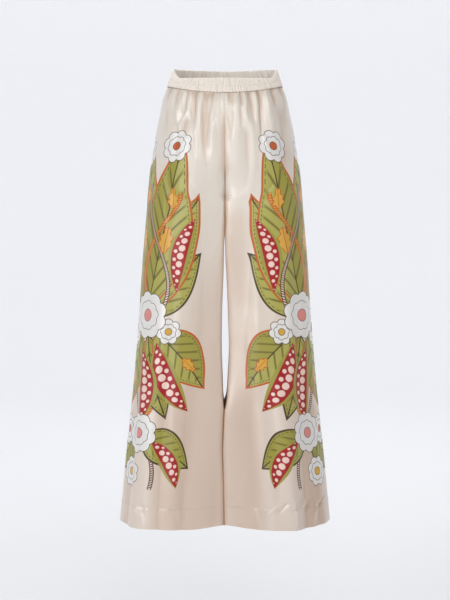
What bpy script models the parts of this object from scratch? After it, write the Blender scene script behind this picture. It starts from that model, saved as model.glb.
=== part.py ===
"""Palazzo pants, filled out as if worn: a gathered waistband over two wide legs that flare to the hem.

Metres, +Z up. The front faces -Y and the wearer's left is +X. The origin is the middle of the
waistband, where the wearer's waist holds the garment up. Every piece of cloth is a thin wall with
hollow space inside it, open at the waist and at both hems.
"""
import math
from collections import namedtuple

import bmesh
import bpy
import numpy as np

# ---- Driving dimensions -------------------------------------------------------------------------

CLOTH = 0.0015              # wall of a panel
BAND_CLOTH = 0.0024         # wall of the waistband: two layers of cloth over elastic
SEAM_GAP = 0.0003           # room between pieces that are sewn together
HALF_GAP = SEAM_GAP / 2

PANEL_COLUMNS = 34          # strips across a panel
BAND_RIBS = 27              # gathers in each quarter of the waistband
RIB_RISE = 0.0009
BAND_PUFF = 0.0012          # how far the band swells between its rows of stitching
SEAM_FADE = 0.05            # share of a panel's width over which folds flatten towards a seam
FOLD_ENTRY = 0.25           # share of a fold's length in which it rises to its full height
FOLD_EXIT = 0.40            # share of a fold's length from which it sinks back into the cloth
SLOPE_STEP = 0.001          # distance used to measure the slope of the cloth
CURVE_SAMPLES = 241         # points that measure the length of one curve across a panel
SHARP_ANGLE = 50.0          # degrees from which an edge is shaded as a corner

# Side seam from the waist to the hem, on the wearer's left.
Side = namedtuple("Side", "z x y")
SIDE_SEAM = [
    Side(-0.0193, 0.1325, 0.002),
    Side(-0.0450, 0.1425, 0.003),
    Side(-0.0800, 0.1500, 0.004),
    Side(-0.1200, 0.1590, 0.004),
    Side(-0.1600, 0.1650, 0.005),
    Side(-0.1900, 0.1695, 0.005),
    Side(-0.2150, 0.1745, 0.005),
    Side(-0.2350, 0.1770, 0.005),
    Side(-0.2550, 0.1787, 0.005),
    Side(-0.2900, 0.1817, 0.005),
    Side(-0.3400, 0.1860, 0.005),
    Side(-0.4000, 0.1915, 0.005),
    Side(-0.5200, 0.2000, 0.005),
    Side(-0.6400, 0.2093, 0.005),
    Side(-0.7400, 0.2190, 0.005),
    Side(-0.8800, 0.2347, 0.005),
    Side(-1.0433, 0.2506, 0.005),
]

# The other edge of a panel at the same rows: the centre seam down to the crotch, then the inseam.
# out_x, out_y, out_z say which way the cloth leaves that edge and how far it keeps to it, and
# side_pull says how far it keeps to the front-to-back direction at the side seam.
Edge = namedtuple("Edge", "x y z out_x out_y out_z side_pull")
FRONT_EDGE = [
    Edge(HALF_GAP, -0.0960, -0.0333, 0.078, 0.000, 0.000, -0.054),
    Edge(HALF_GAP, -0.1015, -0.0560, 0.083, -0.003, 0.000, -0.056),
    Edge(HALF_GAP, -0.1050, -0.0870, 0.087, -0.004, 0.000, -0.058),
    Edge(HALF_GAP, -0.1065, -0.1230, 0.097, -0.004, 0.000, -0.066),
    Edge(HALF_GAP, -0.1055, -0.1600, 0.101, -0.007, 0.000, -0.076),
    Edge(HALF_GAP, -0.1015, -0.1900, 0.094, -0.015, -0.003, -0.088),
    Edge(HALF_GAP, -0.0880, -0.2200, 0.074, -0.037, -0.016, -0.102),
    Edge(HALF_GAP, -0.0500, -0.2460, 0.036, -0.091, -0.042, -0.117),
    Edge(HALF_GAP, -HALF_GAP, -0.2570, 0.002, -0.150, -0.064, -0.126),
    Edge(0.0006, -HALF_GAP, -0.2900, 0.000, -0.154, -0.044, -0.128),
    Edge(0.0008, -HALF_GAP, -0.3400, 0.000, -0.148, -0.014, -0.132),
    Edge(0.0020, -HALF_GAP, -0.4000, 0.000, -0.140, 0.000, -0.138),
    Edge(0.0083, -0.0040, -0.5200, 0.000, -0.134, 0.000, -0.138),
    Edge(0.0078, -0.0080, -0.6400, 0.000, -0.131, 0.000, -0.140),
    Edge(0.0030, -0.0120, -0.7400, 0.000, -0.129, 0.000, -0.142),
    Edge(0.0008, -0.0160, -0.8800, 0.000, -0.128, 0.000, -0.145),
    Edge(0.0008, -0.0160, -1.0433, 0.000, -0.131, 0.000, -0.146),
]
BACK_EDGE = [
    Edge(HALF_GAP, 0.0980, -0.0190, 0.078, 0.000, 0.000, 0.056),
    Edge(HALF_GAP, 0.1060, -0.0450, 0.083, 0.002, 0.000, 0.062),
    Edge(HALF_GAP, 0.1150, -0.0800, 0.088, 0.003, 0.000, 0.068),
    Edge(HALF_GAP, 0.1230, -0.1200, 0.096, 0.004, 0.000, 0.082),
    Edge(HALF_GAP, 0.1255, -0.1600, 0.100, 0.008, 0.000, 0.096),
    Edge(HALF_GAP, 0.1190, -0.1960, 0.092, 0.018, -0.006, 0.108),
    Edge(HALF_GAP, 0.0990, -0.2290, 0.070, 0.048, -0.024, 0.124),
    Edge(HALF_GAP, 0.0560, -0.2510, 0.034, 0.104, -0.050, 0.140),
    Edge(HALF_GAP, HALF_GAP, -0.2570, 0.002, 0.168, -0.068, 0.146),
    Edge(0.0006, HALF_GAP, -0.2900, 0.000, 0.171, -0.046, 0.147),
    Edge(0.0008, HALF_GAP, -0.3400, 0.000, 0.164, -0.014, 0.147),
    Edge(0.0020, HALF_GAP, -0.4000, 0.000, 0.154, 0.000, 0.150),
    Edge(0.0083, -0.0037, -0.5200, 0.000, 0.150, 0.000, 0.146),
    Edge(0.0078, -0.0077, -0.6400, 0.000, 0.154, 0.000, 0.146),
    Edge(0.0030, -0.0117, -0.7400, 0.000, 0.160, 0.000, 0.148),
    Edge(0.0008, -0.0157, -0.8800, 0.000, 0.168, 0.000, 0.152),
    Edge(0.0008, -0.0157, -1.0433, 0.000, 0.172, 0.000, 0.156),
]

# Top edge of the waistband over one quarter: its ends at the centre line and at the side.
BAND_TOP_SIDE = (0.1186, 0.002, 0.0205)
BAND_TOP_FRONT = (0.0, -0.0820, -0.0012)
BAND_TOP_BACK = (0.0, 0.0850, 0.0176)
BAND_TOP_ROUND = 0.60       # handle length of the quarter curve, as a share of its radius
BAND_TOP_CORNER = 0.48      # the same at the side
FRONT_RISE_FROM = 0.74      # the front edge stays low up to this share of the way to the side
BACK_RISE_FROM = 0.0
BAND_STEPS = [0.0, 0.25, 0.5, 0.75, 1.0]    # rows up the outside; the band is stitched at the middle

# Folds. Each row: where it starts and ends across the panel (0 at the centre seam or inseam, 1 at the
# side seam), how far below the waist seam it starts and ends, its half width, and its height, which
# is negative in a trough. A start above the seam means that the fold comes out of the gathered seam.
Fold = namedtuple("Fold", "at_top at_foot top foot half_width rise")
GATHERED = -0.06
PAST_HEM = 1.60
FOLDS = {
    "front_panel_left": [
        Fold(0.072, 0.080, GATHERED, 0.075, 0.0075, -0.0042),
        Fold(0.135, 0.140, GATHERED, 0.100, 0.0090, 0.0042),
        Fold(0.207, 0.175, GATHERED, 0.125, 0.0085, -0.0053),
        Fold(0.250, 0.225, GATHERED, 0.100, 0.0080, 0.0039),
        Fold(0.296, 0.330, GATHERED, 0.110, 0.0085, -0.0050),
        Fold(0.375, 0.365, GATHERED, 0.120, 0.0100, 0.0048),
        Fold(0.448, 0.372, GATHERED, 0.150, 0.0080, -0.0073),
        Fold(0.540, 0.500, GATHERED, 0.150, 0.0120, 0.0050),
        Fold(0.650, 0.600, GATHERED, 0.080, 0.0080, -0.0048),
        Fold(0.740, 0.700, GATHERED, 0.070, 0.0090, 0.0036),
        Fold(0.830, 0.780, GATHERED, 0.060, 0.0075, -0.0042),
        Fold(0.660, 0.560, 0.120, 0.260, 0.0200, -0.0040),
        Fold(0.300, 0.250, 0.200, 0.620, 0.0300, -0.0030),
        Fold(0.620, 0.560, 0.150, 0.560, 0.0350, 0.0045),
        Fold(0.480, 0.500, 0.420, PAST_HEM, 0.0320, 0.0060),
        Fold(0.340, 0.330, 0.480, PAST_HEM, 0.0300, -0.0045),
        Fold(0.800, 0.830, 0.520, PAST_HEM, 0.0420, -0.0080),
    ],
    "front_panel_right": [
        Fold(0.070, 0.085, GATHERED, 0.080, 0.0080, 0.0036),
        Fold(0.144, 0.200, GATHERED, 0.150, 0.0090, -0.0056),
        Fold(0.190, 0.130, GATHERED, 0.160, 0.0085, 0.0036),
        Fold(0.230, 0.260, GATHERED, 0.090, 0.0075, -0.0042),
        Fold(0.305, 0.285, GATHERED, 0.120, 0.0100, 0.0048),
        Fold(0.392, 0.325, GATHERED, 0.115, 0.0080, -0.0067),
        Fold(0.440, 0.420, GATHERED, 0.080, 0.0080, 0.0036),
        Fold(0.485, 0.470, GATHERED, 0.100, 0.0080, -0.0048),
        Fold(0.560, 0.530, GATHERED, 0.110, 0.0110, 0.0042),
        Fold(0.630, 0.600, GATHERED, 0.075, 0.0080, -0.0042),
        Fold(0.720, 0.690, GATHERED, 0.070, 0.0090, 0.0036),
        Fold(0.800, 0.770, GATHERED, 0.060, 0.0075, -0.0042),
        Fold(0.450, 0.440, 0.060, 0.130, 0.0110, -0.0030),
        Fold(0.560, 0.640, 0.150, 0.330, 0.0180, -0.0042),
        Fold(0.380, 0.420, 0.140, 0.520, 0.0320, 0.0040),
        Fold(0.590, 0.610, 0.450, PAST_HEM, 0.0360, 0.0060),
        Fold(0.410, 0.420, 0.520, PAST_HEM, 0.0320, -0.0048),
        Fold(0.180, 0.190, 0.620, PAST_HEM, 0.0260, -0.0040),
        Fold(0.810, 0.840, 0.560, PAST_HEM, 0.0420, -0.0070),
    ],
    "back_panel_left": [
        Fold(0.080, 0.085, GATHERED, 0.085, 0.0080, -0.0045),
        Fold(0.150, 0.160, GATHERED, 0.110, 0.0100, 0.0045),
        Fold(0.225, 0.210, GATHERED, 0.120, 0.0085, -0.0056),
        Fold(0.300, 0.300, GATHERED, 0.090, 0.0090, 0.0039),
        Fold(0.370, 0.345, GATHERED, 0.140, 0.0085, -0.0064),
        Fold(0.455, 0.450, GATHERED, 0.110, 0.0110, 0.0048),
        Fold(0.540, 0.520, GATHERED, 0.085, 0.0080, -0.0048),
        Fold(0.620, 0.600, GATHERED, 0.080, 0.0090, 0.0036),
        Fold(0.700, 0.670, GATHERED, 0.090, 0.0080, -0.0050),
        Fold(0.850, 0.820, GATHERED, 0.060, 0.0075, -0.0039),
        Fold(0.280, 0.420, 0.170, 0.330, 0.0190, -0.0050),
        Fold(0.420, 0.520, 0.180, 0.380, 0.0240, 0.0040),
        Fold(0.520, 0.500, 0.420, PAST_HEM, 0.0360, 0.0062),
        Fold(0.330, 0.340, 0.380, PAST_HEM, 0.0320, -0.0050),
        Fold(0.740, 0.720, 0.450, PAST_HEM, 0.0360, -0.0052),
    ],
    "back_panel_right": [
        Fold(0.060, 0.070, GATHERED, 0.070, 0.0080, -0.0039),
        Fold(0.130, 0.130, GATHERED, 0.095, 0.0090, 0.0042),
        Fold(0.200, 0.215, GATHERED, 0.135, 0.0085, -0.0062),
        Fold(0.285, 0.290, GATHERED, 0.100, 0.0100, 0.0048),
        Fold(0.360, 0.380, GATHERED, 0.095, 0.0080, -0.0048),
        Fold(0.430, 0.420, GATHERED, 0.090, 0.0090, 0.0039),
        Fold(0.505, 0.470, GATHERED, 0.130, 0.0085, -0.0064),
        Fold(0.590, 0.570, GATHERED, 0.100, 0.0110, 0.0045),
        Fold(0.680, 0.660, GATHERED, 0.080, 0.0080, -0.0045),
        Fold(0.820, 0.790, GATHERED, 0.065, 0.0080, -0.0042),
        Fold(0.240, 0.380, 0.180, 0.350, 0.0190, -0.0046),
        Fold(0.400, 0.470, 0.190, 0.400, 0.0240, 0.0040),
        Fold(0.570, 0.590, 0.400, PAST_HEM, 0.0380, 0.0060),
        Fold(0.390, 0.400, 0.440, PAST_HEM, 0.0300, -0.0046),
        Fold(0.190, 0.200, 0.560, PAST_HEM, 0.0260, -0.0040),
    ],
}

# Where the legs lie against each other, the cloth of one leg fills the hollow in the other. This is
# how far both swing to the side at each height, over a wave that runs from front to back.
Nestle = namedtuple("Nestle", "z swing")
NESTLE = [
    Nestle(-1.10, 0.0032),
    Nestle(-0.80, 0.0032),
    Nestle(-0.70, 0.0008),
    Nestle(-0.43, 0.0008),
    Nestle(-0.38, 0.0024),
    Nestle(-0.30, 0.0024),
    Nestle(-0.26, 0.0),
    Nestle(0.10, 0.0),
]
NESTLE_WAVE = 0.050
NESTLE_MIDDLE = -0.010      # the wave crosses nought here, front to back
NESTLE_REACH = 0.030        # how far from the inseam, front to back, the wave dies away
NESTLE_NEAR = 0.020         # full swing up to this distance from the middle plane
NESTLE_FAR = 0.060          # no swing beyond this distance

# Rows of the mesh: how many strips each stretch of the side seam is divided into.
STRIPS = [2, 2, 2, 1, 1, 1, 1, 1, 1, 1, 1, 1, 1, 1, 1, 1]

SILK_CREAM = (0.80, 0.72, 0.62, 1.0)
BAND_CREAM = (0.82, 0.76, 0.68, 1.0)
SILK_ROUGHNESS = 0.42
BAND_ROUGHNESS = 0.50


# ---- Curves -------------------------------------------------------------------------------------

def soft_step(low, high, value):
    """0 below low, 1 above high, and a smooth rise between them."""
    share = np.clip((value - low) / (high - low), 0.0, 1.0)
    return share * share * (3.0 - 2.0 * share)


def through_rows(places, rows, place):
    """A smooth value at one place along a table's rows, which never overshoots them."""
    places = np.asarray(places, dtype=float)
    rows = np.asarray(rows, dtype=float)
    gaps = np.diff(places)[:, None]
    rates = np.diff(rows, axis=0) / gaps
    slopes = np.zeros_like(rows)
    slopes[0] = rates[0]
    slopes[-1] = rates[-1]
    before = rates[:-1]
    after = rates[1:]
    same_way = before * after > 0
    total = np.where(same_way, before + after, 1.0)
    slopes[1:-1] = np.where(same_way, 2.0 * before * after / total, 0.0)
    at = int(np.clip(np.searchsorted(places, place) - 1, 0, len(places) - 2))
    gap = places[at + 1] - places[at]
    share = (place - places[at]) / gap
    rest = 1.0 - share
    ends = rows[at] * (1 + 2 * share) * rest ** 2 + rows[at + 1] * (3 - 2 * share) * share ** 2
    return ends + gap * (slopes[at] * share * rest ** 2 - slopes[at + 1] * share ** 2 * rest)


def even_curve(start, start_handle, end_handle, end, shares):
    """Points of a Bezier curve at even distances along it, its directions there, and its length."""
    corners = np.array([start, start_handle, end_handle, end])
    fine = np.linspace(0.0, 1.0, CURVE_SAMPLES)
    line = bezier(corners, fine)
    along = np.concatenate([[0.0], np.cumsum(np.linalg.norm(np.diff(line, axis=0), axis=1))])
    at = np.interp(np.asarray(shares) * along[-1], along, fine)
    legs = np.diff(corners, axis=0)
    rest = 1.0 - at[:, None]
    at = at[:, None]
    direction = legs[0] * rest ** 2 + 2 * legs[1] * rest * at + legs[2] * at ** 2
    direction /= np.linalg.norm(direction, axis=1)[:, None]
    return bezier(corners, at[:, 0]), direction, along[-1]


def bezier(corners, at):
    """Points of a cubic Bezier curve."""
    at = np.asarray(at)[:, None]
    rest = 1.0 - at
    return (corners[0] * rest ** 3 + 3 * corners[1] * rest ** 2 * at
            + 3 * corners[2] * rest * at ** 2 + corners[3] * at ** 3)


# ---- Panels -------------------------------------------------------------------------------------

WAIST_Z = SIDE_SEAM[0].z
HEM_DROP = WAIST_Z - SIDE_SEAM[-1].z


def panel_row(edges, drop, shares):
    """The bare form of a panel, before its folds, along one row that meets the side seam at this drop."""
    places = [WAIST_Z - side.z for side in SIDE_SEAM]
    side_z, side_x, side_y = through_rows(places, SIDE_SEAM, drop)
    edge = Edge(*through_rows(places, edges, drop))
    front_to_back = math.copysign(1.0, edge.side_pull)
    start = np.array([edge.x, edge.y, edge.z])
    end = np.array([side_x, side_y + front_to_back * HALF_GAP, side_z])
    start_handle = start + np.array([edge.out_x, edge.out_y, edge.out_z])
    end_handle = end + np.array([0.0, edge.side_pull, 0.0])
    return even_curve(start, start_handle, end_handle, end, shares)


def fold_heights(folds, shares, drop, width):
    """How far the folds lift the cloth along one row of a panel."""
    total = np.zeros_like(shares)
    for fold in folds:
        along = (drop - fold.top) / (fold.foot - fold.top)
        centre = fold.at_top + (fold.at_foot - fold.at_top) * np.clip(along, 0.0, 1.0)
        strength = soft_step(0.0, FOLD_ENTRY, along) * (1.0 - soft_step(FOLD_EXIT, 1.0, along))
        across = (shares - centre) * width / fold.half_width
        total += fold.rise * strength * np.exp(-across ** 2)
    inward = soft_step(0.0, SEAM_FADE, shares) * soft_step(0.0, SEAM_FADE, 1.0 - shares)
    return total * inward


def nestle(points):
    """Swing the inner sides of both legs the same way where they lie against each other."""
    heights = [row.z for row in NESTLE]
    swings = [row.swing for row in NESTLE]
    swing = np.interp(points[..., 2], heights, swings)
    front_to_back = points[..., 1] - NESTLE_MIDDLE
    wave = np.sin(2 * math.pi * front_to_back / NESTLE_WAVE) * np.exp(-(front_to_back / NESTLE_REACH) ** 2)
    near = 1.0 - soft_step(NESTLE_NEAR, NESTLE_FAR, np.abs(points[..., 0]))
    moved = points.copy()
    moved[..., 0] += swing * wave * near
    return moved


def row_drops():
    """How far below the waist seam each row of a panel's mesh meets the side seam."""
    drops = [0.0]
    for upper, lower, count in zip(SIDE_SEAM, SIDE_SEAM[1:], STRIPS):
        for part in range(1, count + 1):
            drops.append(WAIST_Z - (upper.z + (lower.z - upper.z) * part / count))
    return drops


def panel_grids(name, edges, leg_side):
    """The outer and the inner points of a panel, row by row from the waist to the hem."""
    shares = np.linspace(0.0, 1.0, PANEL_COLUMNS + 1)
    outward = 1.0 if edges is BACK_EDGE else -1.0
    outer_rows = []
    inner_rows = []
    for drop in row_drops():
        points, across, width = panel_row(edges, drop, shares)
        above = panel_row(edges, max(drop - SLOPE_STEP, 0.0), shares)[0]
        below = panel_row(edges, min(drop + SLOPE_STEP, HEM_DROP), shares)[0]
        normal = outward * np.cross(across, below - above)
        if drop in (0.0, HEM_DROP):
            normal[:, 2] = 0.0
        normal /= np.linalg.norm(normal, axis=1)[:, None]
        if drop == 0.0:
            points = points - np.array([0.0, 0.0, HALF_GAP])
        lift = fold_heights(FOLDS[name], shares, drop, width)[:, None]
        outer_rows.append(points + normal * lift)
        inner_rows.append(points + normal * (lift - CLOTH))
    grids = []
    for rows in (outer_rows, inner_rows):
        grid = np.array(rows)
        grid[..., 0] = np.maximum(grid[..., 0], HALF_GAP) * leg_side
        grids.append(nestle(grid))
    return grids


def make_panel(name, edges, leg_side):
    """One leg panel, from the waist seam to the hem."""
    outer, inner = panel_grids(name, edges, leg_side)
    return make_wall(name, outer, inner, ring=False)


# ---- Waistband ----------------------------------------------------------------------------------

def band_quarter(edges, top_middle, rise_from, shares):
    """Lower and upper edge of the waistband over one quarter, and the level way out of it."""
    seam, across, _ = panel_row(edges, 0.0, shares)
    seam = seam + np.array([0.0, 0.0, HALF_GAP])
    middle = np.array(top_middle)
    side = np.array(BAND_TOP_SIDE)
    middle_handle = middle + np.array([BAND_TOP_ROUND * side[0], 0.0, 0.0])
    depth = middle[1] - side[1]
    side_handle = side + np.array([0.0, BAND_TOP_CORNER * depth, 0.0])
    top = even_curve(middle, middle_handle, side_handle, side, shares)[0]
    top[:, 2] = middle[2] + (side[2] - middle[2]) * soft_step(rise_from, 1.0, shares)
    outward = 1.0 if top_middle[1] > 0 else -1.0
    level = outward * np.stack([-across[:, 1], across[:, 0], np.zeros(len(shares))], axis=1)
    level /= np.linalg.norm(level, axis=1)[:, None]
    return seam, top, level


def band_ring():
    """Lower edge, upper edge and level way out all round, from the centre front over the left side."""
    columns = 2 * BAND_RIBS
    shares = np.arange(columns + 1) / columns
    front = band_quarter(FRONT_EDGE, BAND_TOP_FRONT, FRONT_RISE_FROM, shares)
    back = band_quarter(BACK_EDGE, BAND_TOP_BACK, BACK_RISE_FROM, shares)
    mirror = np.array([-1.0, 1.0, 1.0])
    ring = []
    for front_line, back_line in zip(front, back):
        left = np.concatenate([front_line[:-1], back_line[:0:-1]])
        right = np.concatenate([back_line[:-1], front_line[:0:-1]]) * mirror
        ring.append(np.concatenate([left, right]))
    return ring


def make_waistband():
    """The gathered band: ribs and stitched puffs on the outside, plain on the inside."""
    seam, top, level = band_ring()
    ribs = RIB_RISE * np.cos(math.pi * np.arange(len(seam)))[:, None]
    outer_rows = []
    inner_rows = []
    for height in reversed(BAND_STEPS):
        middle = seam + (top - seam) * height
        puff = BAND_PUFF * abs(math.sin(2 * math.pi * height))
        outer_rows.append(middle + level * (ribs + puff))
        if height in (0.0, 1.0):
            inner_rows.append(middle - level * BAND_CLOTH)
    return make_wall("waistband", np.array(outer_rows), np.array(inner_rows), ring=True)


# ---- Meshes and objects -------------------------------------------------------------------------

def make_wall(name, outer, inner, ring):
    """A closed wall between an outer and an inner grid of points; a ring joins its last column to its first."""
    mesh = bpy.data.meshes.new(name)
    cloth = bmesh.new()
    outside = [[cloth.verts.new(point) for point in row] for row in outer]
    inside = [[cloth.verts.new(point) for point in row] for row in inner]
    for grid in (outside, inside):
        for upper, lower in zip(grid, grid[1:]):
            join_rows(cloth, upper, lower, ring)
    join_rows(cloth, outside[0], inside[0], ring)
    join_rows(cloth, outside[-1], inside[-1], ring)
    if not ring:
        for column in (0, -1):
            join_rows(cloth, [row[column] for row in outside], [row[column] for row in inside], ring)
    bmesh.ops.recalc_face_normals(cloth, faces=cloth.faces)
    bmesh.ops.triangulate(cloth, faces=cloth.faces)
    cloth.to_mesh(mesh)
    cloth.free()
    mesh.shade_smooth()
    mesh.set_sharp_from_angle(angle=math.radians(SHARP_ANGLE))
    cloth_object = bpy.data.objects.new(name, mesh)
    bpy.context.scene.collection.objects.link(cloth_object)
    return cloth_object


def join_rows(cloth, first, second, ring):
    """Quads between two rows of points with the same count."""
    count = len(first)
    for start in range(count if ring else count - 1):
        end = (start + 1) % count
        cloth.faces.new((first[start], first[end], second[end], second[start]))


def cloth_material(name, colour, roughness):
    """A plain Principled finish for one piece."""
    material = bpy.data.materials.new(name)
    material.use_nodes = True
    shader = material.node_tree.nodes["Principled BSDF"]
    shader.inputs["Base Color"].default_value = colour
    shader.inputs["Roughness"].default_value = roughness
    shader.inputs["Metallic"].default_value = 0.0
    return material


def build():
    """All pieces of the garment."""
    for old in list(bpy.data.objects):
        bpy.data.objects.remove(old)
    band = make_waistband()
    band.data.materials.append(cloth_material("waistband_silk", BAND_CREAM, BAND_ROUGHNESS))
    for part, edges in (("front_panel", FRONT_EDGE), ("back_panel", BACK_EDGE)):
        for side_name, leg_side in (("left", 1.0), ("right", -1.0)):
            panel = make_panel(f"{part}_{side_name}", edges, leg_side)
            silk = cloth_material(f"{part}_{side_name}_silk", SILK_CREAM, SILK_ROUGHNESS)
            panel.data.materials.append(silk)


build()
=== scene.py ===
# %% [markdown]
# # Palazzo pants in printed silk
#
# The real garment is four leg panels and one gathered waistband. The solids that this script loads hold
# its main form and sizes, as walls of 1.5 mm and in the waistband of 2.4 mm. Here each of them gets a skin
# of cloth that starts from the same form: half a millimetre thick on the legs, and 2.4 mm at the waist,
# where it is folded over elastic. It has the gathers, creases, puckers and hems that a solid is too coarse
# for. Then come its stitches, and then the silk itself with its weave, sheen and print.
#
# The first cell loads the solids and sets their places into their meshes, because the cloth has to stay close
# to them.

import math
from collections import namedtuple

import bpy
import numpy as np
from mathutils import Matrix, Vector


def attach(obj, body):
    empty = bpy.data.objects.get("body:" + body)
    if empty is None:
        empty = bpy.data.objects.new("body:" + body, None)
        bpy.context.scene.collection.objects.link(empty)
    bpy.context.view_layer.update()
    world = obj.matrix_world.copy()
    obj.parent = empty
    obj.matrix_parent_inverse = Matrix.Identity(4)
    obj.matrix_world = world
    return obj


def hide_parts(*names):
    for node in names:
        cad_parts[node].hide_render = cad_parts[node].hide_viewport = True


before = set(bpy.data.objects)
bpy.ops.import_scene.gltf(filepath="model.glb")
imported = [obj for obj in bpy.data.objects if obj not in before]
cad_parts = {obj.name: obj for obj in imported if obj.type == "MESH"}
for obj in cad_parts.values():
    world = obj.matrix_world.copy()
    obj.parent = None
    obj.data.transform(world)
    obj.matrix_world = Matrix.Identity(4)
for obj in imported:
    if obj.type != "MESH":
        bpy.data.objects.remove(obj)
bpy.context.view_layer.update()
print("pieces:", sorted(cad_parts))

# %% [markdown]
# ## The form of the legs
#
# A trouser panel is a sheet between two long edges. One edge is the side seam. The other is the centre
# seam down to the crotch, and below it the inseam. Both are given here as short tables with a row for each
# height that matters, and every line across the panel is one Bezier curve between them. The solids have the
# same tables, but for a little more room between the panels at their seams, so each skin starts on its
# solid. A table with a curve through it is easier to correct than a sculpted mesh: one number moves one
# place.

# %% Edges of a panel
ROOM = 0.00002                     # the cloth of two panels all but touches at a seam

Side = namedtuple("Side", "z x y")
SIDE_SEAM = [
    Side(-0.0193, 0.1325, 0.002),
    Side(-0.0450, 0.1425, 0.003),
    Side(-0.0800, 0.1500, 0.004),
    Side(-0.1200, 0.1590, 0.004),
    Side(-0.1600, 0.1650, 0.005),
    Side(-0.1900, 0.1695, 0.005),
    Side(-0.2150, 0.1745, 0.005),
    Side(-0.2350, 0.1770, 0.005),
    Side(-0.2550, 0.1787, 0.005),
    Side(-0.2900, 0.1817, 0.005),
    Side(-0.3400, 0.1860, 0.005),
    Side(-0.4000, 0.1915, 0.005),
    Side(-0.5200, 0.2000, 0.005),
    Side(-0.6400, 0.2093, 0.005),
    Side(-0.7400, 0.2190, 0.005),
    Side(-0.8800, 0.2347, 0.005),
    Side(-1.0433, 0.2506, 0.005),
]

# out_x, out_y, out_z say which way the cloth leaves the inner edge and how far it keeps to it, and
# side_pull says how far it keeps to the front-to-back direction at the side seam.
Edge = namedtuple("Edge", "x y z out_x out_y out_z side_pull")
FRONT_EDGE = [
    Edge(ROOM, -0.0960, -0.0333, 0.078, 0.000, 0.000, -0.054),
    Edge(ROOM, -0.1015, -0.0560, 0.083, -0.003, 0.000, -0.056),
    Edge(ROOM, -0.1050, -0.0870, 0.087, -0.004, 0.000, -0.058),
    Edge(ROOM, -0.1065, -0.1230, 0.097, -0.004, 0.000, -0.066),
    Edge(ROOM, -0.1055, -0.1600, 0.101, -0.007, 0.000, -0.076),
    Edge(ROOM, -0.1015, -0.1900, 0.094, -0.015, -0.003, -0.088),
    Edge(ROOM, -0.0880, -0.2200, 0.074, -0.037, -0.016, -0.102),
    Edge(ROOM, -0.0500, -0.2460, 0.036, -0.091, -0.042, -0.117),
    Edge(ROOM, -ROOM, -0.2570, 0.002, -0.150, -0.064, -0.126),
    Edge(0.0006, -ROOM, -0.2900, 0.000, -0.154, -0.044, -0.128),
    Edge(0.0008, -ROOM, -0.3400, 0.000, -0.148, -0.014, -0.132),
    Edge(0.0020, -ROOM, -0.4000, 0.000, -0.140, 0.000, -0.138),
    Edge(0.0083, -0.0040, -0.5200, 0.000, -0.134, 0.000, -0.138),
    Edge(0.0078, -0.0080, -0.6400, 0.000, -0.131, 0.000, -0.140),
    Edge(0.0030, -0.0120, -0.7400, 0.000, -0.129, 0.000, -0.142),
    Edge(0.0008, -0.0160, -0.8800, 0.000, -0.128, 0.000, -0.145),
    Edge(0.0008, -0.0160, -1.0433, 0.000, -0.131, 0.000, -0.146),
]
BACK_EDGE = [
    Edge(ROOM, 0.0980, -0.0190, 0.078, 0.000, 0.000, 0.056),
    Edge(ROOM, 0.1060, -0.0450, 0.083, 0.002, 0.000, 0.062),
    Edge(ROOM, 0.1150, -0.0800, 0.088, 0.003, 0.000, 0.068),
    Edge(ROOM, 0.1230, -0.1200, 0.096, 0.004, 0.000, 0.082),
    Edge(ROOM, 0.1255, -0.1600, 0.100, 0.008, 0.000, 0.096),
    Edge(ROOM, 0.1190, -0.1960, 0.092, 0.018, -0.006, 0.108),
    Edge(ROOM, 0.0990, -0.2290, 0.070, 0.048, -0.024, 0.124),
    Edge(ROOM, 0.0560, -0.2510, 0.034, 0.104, -0.050, 0.140),
    Edge(ROOM, ROOM, -0.2570, 0.002, 0.168, -0.068, 0.146),
    Edge(0.0006, ROOM, -0.2900, 0.000, 0.171, -0.046, 0.147),
    Edge(0.0008, ROOM, -0.3400, 0.000, 0.164, -0.014, 0.147),
    Edge(0.0020, ROOM, -0.4000, 0.000, 0.154, 0.000, 0.150),
    Edge(0.0083, -0.0040, -0.5200, 0.000, 0.150, 0.000, 0.146),
    Edge(0.0078, -0.0080, -0.6400, 0.000, 0.154, 0.000, 0.146),
    Edge(0.0030, -0.0120, -0.7400, 0.000, 0.160, 0.000, 0.148),
    Edge(0.0008, -0.0160, -0.8800, 0.000, 0.168, 0.000, 0.152),
    Edge(0.0008, -0.0160, -1.0433, 0.000, 0.172, 0.000, 0.156),
]
WAIST_Z = SIDE_SEAM[0].z
HEM_DROP = WAIST_Z - SIDE_SEAM[-1].z
print(f"a panel hangs {1000 * HEM_DROP:.0f} mm from the waist seam to the hem")

# %% Curves through the tables
CURVE_SAMPLES = 241


def soft_step(low, high, value):
    """0 below low, 1 above high, and a smooth rise between them."""
    share = np.clip((value - low) / (high - low), 0.0, 1.0)
    return share * share * (3.0 - 2.0 * share)


def through_rows(places, rows, place):
    """A smooth value at one place along a table's rows, which never overshoots them."""
    places = np.asarray(places, dtype=float)
    rows = np.asarray(rows, dtype=float)
    rates = np.diff(rows, axis=0) / np.diff(places)[:, None]
    slopes = np.zeros_like(rows)
    slopes[0] = rates[0]
    slopes[-1] = rates[-1]
    before = rates[:-1]
    after = rates[1:]
    same_way = before * after > 0
    total = np.where(same_way, before + after, 1.0)
    slopes[1:-1] = np.where(same_way, 2.0 * before * after / total, 0.0)
    at = int(np.clip(np.searchsorted(places, place) - 1, 0, len(places) - 2))
    gap = places[at + 1] - places[at]
    share = (place - places[at]) / gap
    rest = 1.0 - share
    ends = rows[at] * (1 + 2 * share) * rest ** 2 + rows[at + 1] * (3 - 2 * share) * share ** 2
    return ends + gap * (slopes[at] * share * rest ** 2 - slopes[at + 1] * share ** 2 * rest)


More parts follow.
